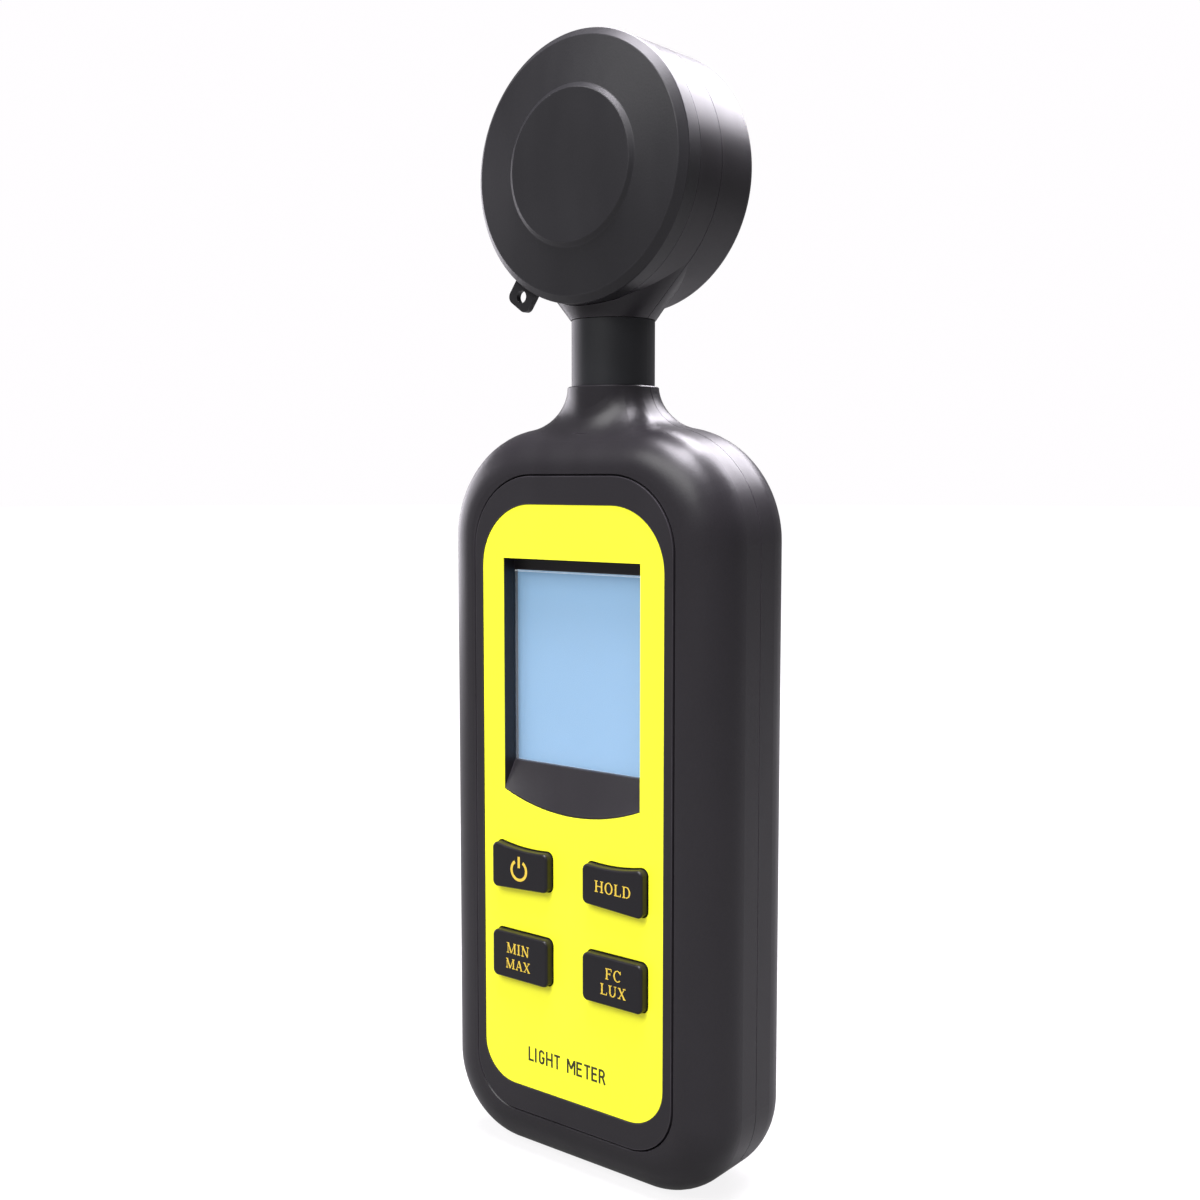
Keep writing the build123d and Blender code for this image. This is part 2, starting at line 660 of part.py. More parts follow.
for number, (x, points) in enumerate(CELLS, start=1):
    low, high = cell_span(points)
    can = (low, high - NUB_H) if points > 0 else (low + NUB_H, high)
    with BuildPart() as cell:
        with BuildSketch(Plane.XY.offset(can[0])) as can_face:
            with Locations((x, CELL_Y)):
                Circle(CELL_R)
        extrude(can_face.sketch, amount=can[1] - can[0])
        fillet(cell.edges().filter_by(GeomType.CIRCLE), 0.5)
        nub_low = can[1] if points > 0 else low
        with BuildSketch(Plane.XY.offset(nub_low)) as nub_face:
            with Locations((x, CELL_Y)):
                Circle(NUB_R)
        extrude(nub_face.sketch, amount=NUB_H)
    save(cell.part, f"battery_cell_{number}")

SPRING_TURNS = 3.5
spring_solids = []
for x, points in CELLS:
    low, high = cell_span(points)
    start = CONTACT_LOW[1] if points > 0 else high
    end = low if points > 0 else CONTACT_HIGH[0]
    rise = end - start - 2 * WIRE_R - 0.04
    with BuildPart() as coil:
        with BuildLine():
            path = Helix(
                pitch=rise / SPRING_TURNS,
                height=rise,
                radius=SPRING_COIL_R,
                center=(x, CELL_Y, start + WIRE_R + 0.02),
            )
        with BuildSketch(Plane(origin=path @ 0, z_dir=path % 0)):
            Circle(WIRE_R)
        sweep(is_frenet=True)
    spring_solids.append(coil.part)
save(Compound(children=spring_solids), "battery_springs")

with BuildPart() as battery_contacts:
    # upper strips: a single one over cell 1, a shared one over cells 2 and 3
    for z_span, inward, strips in (
        (CONTACT_HIGH, -1, ((-CELL_PITCH, SINGLE_STRIP), (CELL_PITCH / 2, SHARED_STRIP))),
        (CONTACT_LOW, 1, ((CELL_PITCH, SINGLE_STRIP), (-CELL_PITCH / 2, SHARED_STRIP))),
    ):
        for x, half_w in strips:
            slab(half_w, z_span, CONTACT_Y, x=x)
        for x, points in CELLS:
            if points != -inward:
                continue
            edge = z_span[0] if inward < 0 else z_span[1]
            with BuildSketch(Plane.XY.offset(edge)) as dimple:
                with Locations((x, CELL_Y)):
                    Circle(DIMPLE_R)
            extrude(dimple.sketch, amount=inward * (DIMPLE_H - 0.02))
save(battery_contacts.part, "battery_contacts")

# ---------------------------------------------------------------- battery cover
COVER_Y = (BODY_HALF_D - COVER_T, BODY_HALF_D)
COVER_HEAD_R = 1.95
COVER_HEAD_Y = 9.93
GROOVE_COUNT = 5
GROOVE_PITCH = 2.2
GROOVE_LOW_Z = 52.0
GROOVE_HALF_W, GROOVE_TAPER = 7.0, 0.8
GROOVE_HALF_H, GROOVE_DEPTH = 0.45, 0.35

with BuildPart() as battery_cover:
    slab(COVER_HALF_W, COVER_Z, COVER_Y, (2.3, 2.3))
    fillet(battery_cover.faces().sort_by(Axis.Y)[-1].edges(), 0.3)
    for x in HOOKS_X:
        slab(HOOK_HALF_W, (BAY_Z[0] + 0.1, BAY_Z[0] + 1.3), (HOOK_Y[0], COVER_Y[0]), x=x)
        slab(HOOK_HALF_W, (HOOK_LOW_Z, BAY_Z[0] + 1.3), HOOK_Y, x=x)
    peg(0, COVER_SCREW_Z, 1.15, (COVER_Y[0] - 1, COVER_Y[1] + 1), mode=Mode.SUBTRACT)
    head_hole_y = (COVER_HEAD_Y - 0.03, COVER_Y[1] + 1)
    peg(0, COVER_SCREW_Z, COVER_HEAD_R + 0.25, head_hole_y, mode=Mode.SUBTRACT)
    # finger grooves, shorter towards the screw
    for n in range(GROOVE_COUNT):
        z = GROOVE_LOW_Z + GROOVE_PITCH * n
        slab(
            GROOVE_HALF_W - GROOVE_TAPER * n,
            (z - GROOVE_HALF_H, z + GROOVE_HALF_H),
            (COVER_Y[1] - GROOVE_DEPTH, COVER_Y[1] + 1),
            mode=Mode.SUBTRACT,
        )
save(battery_cover.part, "battery_cover")

with BuildPart() as battery_cover_screw:
    cross_screw(COVER_HEAD_R, COVER_HEAD_Y, 1.0, 1.0, 5.8, 1.1, [(0, COVER_SCREW_Z)])
save(battery_cover_screw.part, "battery_cover_screw")

# ---------------------------------------------------------------- neck
FLANGE_R = 6.6
LUG_R = 7.7
FLANGE_Z = (111.0, 112.6)
WASHER_Z = (FLANGE_Z[1] + 0.02, SOCKET_LOW_Z - 0.02)
SPINDLE_R = 4.2  # the neck above its visible length, inside the head
SPINDLE_TOP_Z = 141.5
COUPLING_R = 5.0
COUPLING_Z = (139.2, 140.6)
NECK_KEY_Y = 5.6
NECK_KEY_SIDE = 1.6
RING_WIRE_R = 0.7
RING_Z = 120.0
RING_R = JOURNAL_R + 0.02 - RING_WIRE_R

with BuildPart() as neck_tube:
    post(JOURNAL_R, (FLANGE_Z[0], COLLAR_TOP_Z + 1))
    post(SPINDLE_R, (NECK_TOP_Z - 1, SPINDLE_TOP_Z))
    post(NECK_R, (COLLAR_TOP_Z + 0.08, NECK_TOP_Z - 0.08))
    post(FLANGE_R, FLANGE_Z)
    post(COUPLING_R, COUPLING_Z)
    ring_sector((JOURNAL_R, LUG_R), FLANGE_Z, LUG_MIDDLE, LUG_HALF)
    # key that ties the neck to the head
    with BuildSketch(Plane.XY.offset(COUPLING_Z[0])) as neck_key:
        with Locations((0, NECK_KEY_Y)):
            Rectangle(NECK_KEY_SIDE, NECK_KEY_SIDE)
    extrude(neck_key.sketch, amount=COUPLING_Z[1] - COUPLING_Z[0])
    # groove for the friction ring
    with BuildSketch(Plane.XY.offset(RING_Z - RING_WIRE_R - 0.05)) as groove:
        Circle(JOURNAL_R + 1)
        Circle(RING_R - RING_WIRE_R - 0.02, mode=Mode.SUBTRACT)
    extrude(groove.sketch, amount=2 * RING_WIRE_R + 0.1, mode=Mode.SUBTRACT)
    post(NECK_BORE_R, (FLANGE_Z[0], SPINDLE_TOP_Z), mode=Mode.SUBTRACT)
save(neck_tube.part, "neck_tube")

with BuildPart() as neck_friction_ring:
    with BuildSketch(Plane.XZ) as ring_section:
        with Locations((RING_R, RING_Z)):
            Circle(RING_WIRE_R)
    revolve(ring_section.sketch, axis=Axis.Z)
save(neck_friction_ring.part, "neck_friction_ring")

with BuildPart() as neck_washer:
    post(FLANGE_R, WASHER_Z)
    post(JOURNAL_R + 0.1, WASHER_Z, mode=Mode.SUBTRACT)
save(neck_washer.part, "neck_washer")

# ---------------------------------------------------------------- head shells
FLARE_TOP_Z = HEAD_Z - HEAD_R / sqrt(2)  # where the straight flare runs into the drum
FLARE_HALF_W = HEAD_R / sqrt(2)
FLARE_HALF_D = (8.3, 8.9)  # front, rear
FLARE_LOW_R = NECK_R + 0.15
CAP_SEAT_Y = CAP_REAR_Y + 0.08
HEAD_SHANK_R = 0.9
HEAD_SCREW_TIP_Y = -4.2
HEAD_SCREW_Y = 5.0
HEAD_SCREWS = [on_head(angle, HEAD_SCREW_RING_R) for angle in HEAD_SCREW_ANGLES]


def flare_half(depth, keep):
    """Half of the cone from the neck's round end up to an oval of this half depth."""
    with BuildPart() as cone:
        with BuildSketch(Plane.XY.offset(NECK_TOP_Z)):
            Circle(FLARE_LOW_R)
        with BuildSketch(Plane.XY.offset(FLARE_TOP_Z)):
            Ellipse(FLARE_HALF_W, depth)
        loft()
        split(bisect_by=Plane.XZ, keep=keep)
    return cone.part


front_flare = flare_half(FLARE_HALF_D[0], Keep.TOP)
rear_flare = flare_half(FLARE_HALF_D[1], Keep.BOTTOM)

with BuildPart() as head_form:
    turned(
        [
            (CAP_SEAT_Y, 0),
            (CAP_SEAT_Y, HEAD_R),
            (HEAD_REAR_Y, HEAD_R),
            (HEAD_REAR_Y, 0),
        ]
    )
    rear_rim = head_form.edges().filter_by(lambda e: abs(e.center().Y - HEAD_REAR_Y) < 0.001)
    fillet(rear_rim.sort_by(SortBy.LENGTH)[-1], HEAD_REAR_ROUND)
    add(front_flare)
    add(rear_flare)
    # clearance round the cap's skirt, then the spigot that the skirt slides on
    peg(0, HEAD_Z, HEAD_R + 0.1, (-HEAD_R, CAP_SEAT_Y), mode=Mode.SUBTRACT)
    turned(
        [
            (SPIGOT_FRONT_Y, 0),
            (SPIGOT_FRONT_Y, SPIGOT_R - 0.3),
            (SPIGOT_FRONT_Y + 0.3, SPIGOT_R),
            (CAP_SEAT_Y, SPIGOT_R),
            (CAP_SEAT_Y, 0),
        ]
    )
    # room inside, the front opening, and the seat of the neck
    peg(0, HEAD_Z, HEAD_CAVITY_R, HEAD_CAVITY_Y, mode=Mode.SUBTRACT)
    peg(0, HEAD_Z, DOME_R + 0.2, (SPIGOT_FRONT_Y - 1, 0), mode=Mode.SUBTRACT)
    post(SPINDLE_R + 0.02, (NECK_TOP_Z - 1, HEAD_Z), mode=Mode.SUBTRACT)
    post(COUPLING_R + 0.02, (COUPLING_Z[0] - 0.02, COUPLING_Z[1] + 0.02), mode=Mode.SUBTRACT)
    with BuildSketch(Plane.XY.offset(COUPLING_Z[0] - 0.02)) as key_slot:
        with Locations((0, NECK_KEY_Y)):
            Rectangle(NECK_KEY_SIDE + 0.04, NECK_KEY_SIDE + 0.04)
    extrude(key_slot.sketch, amount=COUPLING_Z[1] - COUPLING_Z[0] + 0.04, mode=Mode.SUBTRACT)

with BuildPart() as head_front_shell:
    add(head_form.part)
    split(bisect_by=front_plane(-SEAM / 2), keep=Keep.TOP)
    for x, z in HEAD_SCREWS:
        peg(x, z, HEAD_SHANK_R + 0.02, (HEAD_SCREW_TIP_Y - 0.3, 1), mode=Mode.SUBTRACT)
save(head_front_shell.part, "head_front_shell")

with BuildPart() as head_rear_shell:
    add(head_form.part)
    split(bisect_by=front_plane(SEAM / 2), keep=Keep.BOTTOM)
    # posts that hold the sensor board forward
    for angle in HEAD_SCREW_ANGLES:
        x, z = on_head(angle, BOARD_POST_RING_R)
        peg(x, z, 1.6, (SENSOR_PCB_Y[1] + RUNNING, HEAD_CAVITY_Y[1] + 0.8))
    for x, z in HEAD_SCREWS:
        peg(x, z, HEAD_SHANK_R + 0.1, (-1, HEAD_REAR_Y), mode=Mode.SUBTRACT)
        peg(x, z, 1.75, (HEAD_SCREW_Y, HEAD_REAR_Y + 1), mode=Mode.SUBTRACT)
save(head_rear_shell.part, "head_rear_shell")

with BuildPart() as head_screws:
    cross_screw(1.6, HEAD_SCREW_Y + 0.02, 1.2, HEAD_SHANK_R, HEAD_SCREW_TIP_Y, 0.9, HEAD_SCREWS)
save(head_screws.part, "head_screws")

# ---------------------------------------------------------------- sensor parts
DOME_EDGE_Y = -6.3
DOME_FLANGE_Y = (-5.95, -4.75)
DOME_WALL = 1.4
dome_rise = DOME_EDGE_Y - DOME_APEX_Y
dome_curve_r = (DOME_R**2 + dome_rise**2) / (2 * dome_rise)
dome_centre_y = DOME_APEX_Y + dome_curve_r
inner_curve_r = dome_curve_r - DOME_WALL
inner_edge_r = DOME_R - DOME_WALL
inner_edge_y = dome_centre_y - sqrt(inner_curve_r**2 - inner_edge_r**2)


def arc_depth(curve_r, radius):
    """Depth on a sphere about the dome's centre of curvature at a distance from the axis."""
    return dome_centre_y - sqrt(curve_r**2 - radius**2)


with BuildPart() as diffuser_dome:
    with BuildSketch(HEAD_SECTION) as dome_profile:
        with BuildLine():
            ThreePointArc(
                (DOME_APEX_Y, 0),
                (arc_depth(dome_curve_r, DOME_R / 2), DOME_R / 2),
                (DOME_EDGE_Y, DOME_R),
            )
            Polyline(
                (DOME_EDGE_Y, DOME_R),
                (DOME_FLANGE_Y[0], DOME_R),
                (DOME_FLANGE_Y[0], HEAD_CAVITY_R - 0.2),
                (DOME_FLANGE_Y[1], HEAD_CAVITY_R - 0.2),
                (DOME_FLANGE_Y[1], inner_edge_r),
                (inner_edge_y, inner_edge_r),
            )
            ThreePointArc(
                (inner_edge_y, inner_edge_r),
                (arc_depth(inner_curve_r, inner_edge_r / 2), inner_edge_r / 2),
                (DOME_APEX_Y + DOME_WALL, 0),
            )
            Line((DOME_APEX_Y + DOME_WALL, 0), (DOME_APEX_Y, 0))
        make_face()
    revolve(dome_profile.sketch, axis=HEAD_AXIS)
save(diffuser_dome.part, "diffuser_dome")

BAFFLE_Y = (-4.7, -2.65)
FILTER_SEAT_Y = -3.7
DIODE_R = 4.1

with BuildPart() as sensor_baffle:
    peg(0, HEAD_Z, HEAD_CAVITY_R - 0.2, BAFFLE_Y)
    peg(0, HEAD_Z, 5.1, (BAFFLE_Y[0] - 1, FILTER_SEAT_Y), mode=Mode.SUBTRACT)
    peg(0, HEAD_Z, DIODE_R + 0.1, (BAFFLE_Y[0] - 1, BAFFLE_Y[1] + 1), mode=Mode.SUBTRACT)
save(sensor_baffle.part, "sensor_baffle")

with BuildPart() as photopic_filter:
    peg(0, HEAD_Z, 5.0, (BAFFLE_Y[0], FILTER_SEAT_Y - 0.02))
save(photopic_filter.part, "photopic_filter")

with BuildPart() as photodiode:
    peg(0, HEAD_Z, DIODE_R, (FILTER_SEAT_Y, SENSOR_PCB_Y[0]))
save(photodiode.part, "photodiode")

with BuildPart() as sensor_pcb:
    peg(0, HEAD_Z, HEAD_CAVITY_R - 0.3, SENSOR_PCB_Y)
save(sensor_pcb.part, "sensor_pcb")

LEAD_TOP_Z = 146.5

with BuildPart() as sensor_header:
    slab(3.2, (LEAD_TOP_Z, LEAD_TOP_Z + 5.0), (SENSOR_PCB_Y[1], 1.9))
save(sensor_header.part, "sensor_header")

with BuildPart() as sensor_lead:
    post(LEAD_R, (PLUG_Z[1], LEAD_TOP_Z))
save(sensor_lead.part, "sensor_lead")

# ---------------------------------------------------------------- lens cap
CAP_FRONT_Y = -11.15
CAP_ROUND = 0.25

CAP_DISC_R, CAP_STEP_R, CAP_BEVEL_R = 11.5, 12.2, 19.4
CAP_STEP_Y, CAP_BEVEL_Y, CAP_SIDE_Y = -10.62, -9.65, -8.6
CAP_INNER_Y = -9.8
CAP_BORE_R = SPIGOT_R + 0.06

with BuildPart() as lens_cap:
    # from the raised disc out over the sloping ring, round the rim, and back along the inside
    turned(
        [
            (CAP_FRONT_Y, 0),
            (CAP_FRONT_Y, CAP_DISC_R),
            (CAP_STEP_Y, CAP_STEP_R),
            (CAP_BEVEL_Y, CAP_BEVEL_R),
            (CAP_SIDE_Y, HEAD_R),
            (CAP_REAR_Y, HEAD_R),
            (CAP_REAR_Y, CAP_BORE_R),
            (CAP_INNER_Y + 1.6, CAP_BORE_R),
            (CAP_INNER_Y + 0.5, CAP_STEP_R - 0.2),
            (CAP_INNER_Y, CAP_DISC_R - 0.5),
            (CAP_INNER_Y, 0),
        ]
    )
    outer_rings = lens_cap.edges().filter_by(
        lambda e: e.geom_type == GeomType.CIRCLE and e.center().Y < -8.5 and e.radius > 11.3
    )
    fillet(outer_rings.filter_by(lambda e: e.radius > 19 or e.center().Y < -10.5), CAP_ROUND)
    # tether tab, its length along the reach direction
    tab_plane = Plane(
        origin=(0, TAB_Y[0], HEAD_Z),
        x_dir=(cos(radians(TAB_ANGLE)), 0, sin(radians(TAB_ANGLE))),
        z_dir=(0, -1, 0),
    )
    with BuildSketch(tab_plane) as tab_face:
        root_reach = HEAD_R - 0.6
        with Locations(((root_reach + TAB_TIP_REACH) / 2, 0)):
            Rectangle(TAB_TIP_REACH - root_reach, TAB_W)
        fillet(tab_face.vertices().group_by(Axis.X)[-1], 1.2)
        with Locations((TAB_HOLE_REACH, 0)):
            Circle(TAB_HOLE_R, mode=Mode.SUBTRACT)
    extrude(tab_face.sketch, amount=TAB_Y[0] - TAB_Y[1])
save(lens_cap.part, "lens_cap")
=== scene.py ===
import json
import math

import bmesh
import bpy
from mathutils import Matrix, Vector


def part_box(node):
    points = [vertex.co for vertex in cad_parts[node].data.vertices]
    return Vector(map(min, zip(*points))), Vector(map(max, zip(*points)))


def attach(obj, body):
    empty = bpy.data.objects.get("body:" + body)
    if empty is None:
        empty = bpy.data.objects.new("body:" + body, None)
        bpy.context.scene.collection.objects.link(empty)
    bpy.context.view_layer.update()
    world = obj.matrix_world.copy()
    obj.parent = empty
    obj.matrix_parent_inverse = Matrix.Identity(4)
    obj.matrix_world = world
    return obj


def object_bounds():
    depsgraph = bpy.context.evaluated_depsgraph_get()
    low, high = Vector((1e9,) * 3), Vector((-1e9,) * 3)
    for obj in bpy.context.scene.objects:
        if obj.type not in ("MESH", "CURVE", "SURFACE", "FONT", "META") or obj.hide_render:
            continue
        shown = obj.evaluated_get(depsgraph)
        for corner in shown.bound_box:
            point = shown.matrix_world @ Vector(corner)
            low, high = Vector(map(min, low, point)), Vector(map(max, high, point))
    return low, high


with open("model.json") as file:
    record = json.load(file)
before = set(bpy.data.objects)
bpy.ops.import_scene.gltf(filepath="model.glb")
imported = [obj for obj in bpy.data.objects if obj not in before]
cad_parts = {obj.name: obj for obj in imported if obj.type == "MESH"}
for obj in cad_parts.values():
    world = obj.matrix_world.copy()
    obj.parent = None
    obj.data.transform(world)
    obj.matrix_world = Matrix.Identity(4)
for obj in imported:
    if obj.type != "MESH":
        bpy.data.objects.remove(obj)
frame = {"nodes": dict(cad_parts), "record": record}
CAD_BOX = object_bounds()

# Handheld light meter: materials, printed legends, floor, light and camera round the CAD frame.
# Metres throughout. +X is the user's right, -Y the display side, +Z the sensor head's end.

MM = 0.001
NODES = frame["nodes"]
SLOT_OF_NODE = {part["node"]: part["material_slot"] for part in frame["record"]["subparts"]}
BODY_OF_NODE = {
    node: body
    for body, members in frame["record"]["behaviour"]["bodies"].items()
    for node in members
}


def add_object(name, data):
    """Links a new object to the scene."""
    thing = bpy.data.objects.new(name, data)
    bpy.context.scene.collection.objects.link(thing)
    return thing


def finished_mesh(name, bm):
    """Turns a bmesh into a mesh and frees it."""
    mesh = bpy.data.meshes.new(name)
    bm.to_mesh(mesh)
    bm.free()
    return mesh


# ---------------------------------------------------------------- node tree helper
UNIT = (0.0, 1.0)
NOISE_RANGE = (0.3, 0.7)  # what a noise mostly stays within
EDGE_TURN = (0.96, 0.998)  # cosines of the turn of a full edge and of a flat
EDGE_SAMPLES = 4


def shade(colour, factor):
    return tuple(min(1.0, c * factor) for c in colour)


class Tree:
    """A material's node tree, built with short calls."""

    def __init__(self, name):
        self.material = bpy.data.materials.new(name)
        self.material.use_nodes = True
        self.nodes = self.material.node_tree.nodes
        self.links = self.material.node_tree.links
        self.nodes.clear()
        self.shader = self.nodes.new("ShaderNodeBsdfPrincipled")
        output = self.nodes.new("ShaderNodeOutputMaterial")
        self.links.new(self.shader.outputs["BSDF"], output.inputs["Surface"])
        self.place = self.nodes.new("ShaderNodeTexCoord").outputs["Object"]

    def constants(self, **values):
        """Sets the shader's own sockets; an underscore in a name stands for a space."""
        for name, value in values.items():
            self.shader.inputs[name.replace("_", " ")].default_value = value

    def feed(self, socket, output):
        self.links.new(output, self.shader.inputs[socket])

    def noise(self, size, detail=3.0, squeeze=None):
        """Noise whose features are about size metres across.

        Squeeze is how many times shorter they are along each axis.
        """
        node = self.nodes.new("ShaderNodeTexNoise")
        node.inputs["Scale"].default_value = 1.0 / size
        node.inputs["Detail"].default_value = detail
        place = self.place
        if squeeze:
            mapping = self.nodes.new("ShaderNodeMapping")
            mapping.inputs["Scale"].default_value = squeeze
            self.links.new(place, mapping.inputs["Vector"])
            place = mapping.outputs["Vector"]
        self.links.new(place, node.inputs["Vector"])
        return node.outputs["Fac"]

    def spread(self, value, low, high, source=NOISE_RANGE):
        """Maps a value from the source range to low..high."""
        node = self.nodes.new("ShaderNodeMapRange")
        node.inputs["From Min"].default_value = source[0]
        node.inputs["From Max"].default_value = source[1]
        node.inputs["To Min"].default_value = low
        node.inputs["To Max"].default_value = high
        self.links.new(value, node.inputs["Value"])
        return node.outputs["Result"]

    def blend(self, factor, first, second):
        """Mixes two colours, each a colour or an output, by a factor."""
        node = self.nodes.new("ShaderNodeMix")
        node.data_type = "RGBA"
        self.links.new(factor, node.inputs["Factor"])
        for socket, colour in ((node.inputs[6], first), (node.inputs[7], second)):
            if isinstance(colour, bpy.types.NodeSocket):
                self.links.new(colour, socket)
            else:
                socket.default_value = (*colour, 1.0)
        return node.outputs[2]

    def mottle(self, noise, colour, low, high):
        """The colour in tones from low to high times its own, after a noise."""
        return self.blend(self.spread(noise, *UNIT), shade(colour, low), shade(colour, high))

    def fleck(self, base, noise, amount, colour):
        """Lays up to an amount of a colour over the base, after a noise."""
        return self.blend(self.spread(noise, 0.0, amount), base, colour)

    def calculate(self, operation, first, second):
        """Math node on two values, each a number or an output."""
        node = self.nodes.new("ShaderNodeMath")
        node.operation = operation
        for socket, value in zip(node.inputs, (first, second)):
            if isinstance(value, bpy.types.NodeSocket):
                self.links.new(value, socket)
            else:
                socket.default_value = value
        return node.outputs[0]

    def along(self, axis):
        """The place along one axis, in metres."""
        node = self.nodes.new("ShaderNodeSeparateXYZ")
        self.links.new(self.place, node.inputs[0])
        return node.outputs["XYZ".index(axis)]

    def edges(self, reach):
        """How sharply the surface turns within reach metres: 0 on a flat, 1 on a square edge."""
        rounded = self.nodes.new("ShaderNodeBevel")
        rounded.samples = EDGE_SAMPLES
        rounded.inputs["Radius"].default_value = reach
        normal = self.nodes.new("ShaderNodeNewGeometry").outputs["Normal"]
        turn = self.nodes.new("ShaderNodeVectorMath")
        turn.operation = "DOT_PRODUCT"
        self.links.new(rounded.outputs["Normal"], turn.inputs[0])
        self.links.new(normal, turn.inputs[1])
        return self.spread(turn.outputs["Value"], 1.0, 0.0, EDGE_TURN)

    def bump(self, *layers):
        """Bump from (height output, depth in metres, strength) layers."""
        normal = None
        for height, depth, strength in layers:
            node = self.nodes.new("ShaderNodeBump")
            node.inputs["Strength"].default_value = strength
            node.inputs["Distance"].default_value = depth
            self.links.new(height, node.inputs["Height"])
            if normal:
                self.links.new(normal, node.inputs["Normal"])
            normal = node.outputs["Normal"]
        self.feed("Normal", normal)


# ---------------------------------------------------------------- materials
PLASTIC_IOR, ACRYLIC_IOR = 1.5, 1.49
GRAIN, RELIEF = 0.28 * MM, 0.02 * MM  # spark-eroded skin of most mouldings
FINE_SKIN = {"grain": 0.2 * MM, "relief": 0.006 * MM}  # smoother skin of the neck and keys
HANDLING = (1.0, 1.0, 0.25)  # handling marks are drawn out along the height
POLISHING = (1.0, 1.0, 6.0)  # polishing marks lie level
DRAWN_LINES = (1.0, 1.0, 12.0)  # and so do the drawn lines of plated metal
WEAR_HIGHLIGHT_REACH = 0.25 * MM  # how far from an edge the rubbing and the painted edge highlight go
WORN_HIGHLIGHT_TONE = 4.0  # a rubbed edge against the plain colour, lighter partly from wear and partly as a painted highlight
WORN_POLISH = 0.12  # what rubbing takes off the roughness


def moulded(name, colour, roughness, grain=GRAIN, relief=RELIEF, gloss=0.32, edge_rub_and_highlight=0.0):
    """Moulded plastic: spark-eroded grain, slow change of tone, and faint handling marks.

    The edge rub and highlight, 0 to 1, is how far the edges are rubbed smoother and lighter; the
    lighter tone is partly a painted edge highlight.
    """
    tree = Tree(name)
    fine = tree.noise(grain, 2.0)
    tone = tree.noise(14 * MM)
    marks = tree.noise(5 * MM, 6.0, HANDLING)
    base = tree.mottle(tone, colour, 0.93, 1.08)
    base = tree.fleck(base, fine, 0.22, shade(colour, 1.5))
    rough = tree.spread(marks, roughness - 0.035, roughness + 0.04)
    # edges turn lighter: part rubbing, part a painted highlight where edges catch the light
    if edge_rub_and_highlight:
        rub_highlight_mask = tree.calculate("MULTIPLY", tree.edges(WEAR_HIGHLIGHT_REACH), tree.spread(marks, 0.2, 1.0))
        worn_highlight_colour = shade(colour, WORN_HIGHLIGHT_TONE)
        base = tree.blend(tree.calculate("MULTIPLY", rub_highlight_mask, edge_rub_and_highlight), base, worn_highlight_colour)
        polish = tree.calculate("MULTIPLY", rub_highlight_mask, WORN_POLISH)
        rough = tree.calculate("SUBTRACT", rough, polish)
    tree.feed("Base Color", base)
    tree.feed("Roughness", rough)
    tree.bump((fine, relief, 0.45), (tone, 0.02 * MM, 0.12))
    tree.constants(Specular_IOR_Level=gloss, IOR=PLASTIC_IOR)
    return tree.material


def film(name, colour, shadow_lifting_glow):
    """Polyester film under a printed ink, satin, with a faint orange peel; its glow is painted
    light that lifts the shadows cast on it.
    """
    tree = Tree(name)
    peel = tree.noise(0.35 * MM, 1.0)
    wave = tree.noise(9 * MM, 2.0)
    speck = tree.noise(0.9 * MM, 5.0)
    base = tree.mottle(wave, colour, 0.975, 1.0)
    base = tree.fleck(base, speck, 0.05, shade(colour, 0.8))
    tree.feed("Base Color", base)
    # the film glows in its own colour: painted light that lifts the keys' shadows
    tree.feed("Emission Color", base)
    tree.feed("Roughness", tree.spread(speck, 0.40, 0.50))
    tree.bump((peel, 0.004 * MM, 0.3), (wave, 0.02 * MM, 0.15))
    tree.constants(
        Emission_Strength=shadow_lifting_glow, Specular_IOR_Level=0.35, IOR=PLASTIC_IOR
    )
    return tree.material


def ink(name, colour):
    """Printed ink: slightly uneven in tone, with a touch of texture."""
    tree = Tree(name)
    speck = tree.noise(0.12 * MM, 4.0)
    tree.feed("Base Color", tree.mottle(speck, colour, 0.88, 1.05))
    tree.feed("Roughness", tree.spread(speck, 0.38, 0.55))
    tree.bump((speck, 0.004 * MM, 0.4))
    tree.constants(Specular_IOR_Level=0.4)
    return tree.material


def display(name, colour, backlight_and_shade_fill):
    """Backlit liquid crystal panel: pale glow, part backlit and part painted fill over the shade
    at its top, a little darker towards its foot, dot grain.
    """
    tree = Tree(name)
    low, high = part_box("lcd_panel")
    glow = tree.noise(16 * MM, 1.0)
    grain = tree.noise(0.22 * MM, 1.0)
    down = tree.spread(tree.along("Z"), 1.0, 0.0, (low.z, high.z))
    base = tree.fleck(colour, glow, 0.5, shade(colour, 0.95))
    base = tree.blend(tree.calculate("MULTIPLY", down, 0.12), base, shade(colour, 0.8))
    base = tree.fleck(base, grain, 0.03, shade(colour, 1.2))
    tree.feed("Base Color", base)
    # the glow is part backlit panel and part painted light filling the shade cast at its top
    tree.feed("Emission Color", base)
    tree.feed("Roughness", tree.spread(grain, 0.30, 0.36))
    tree.bump((glow, 0.004 * MM, 0.1))
    tree.constants(Emission_Strength=backlight_and_shade_fill, Specular_IOR_Level=0.3)
    return tree.material


# painted highlight along the window's top edge: its reach, opacity and glow
RIM_REACH = 0.15 * MM
RIM_PAINTED_ALPHA = 0.95
RIM_PAINTED_GLOW = 0.5


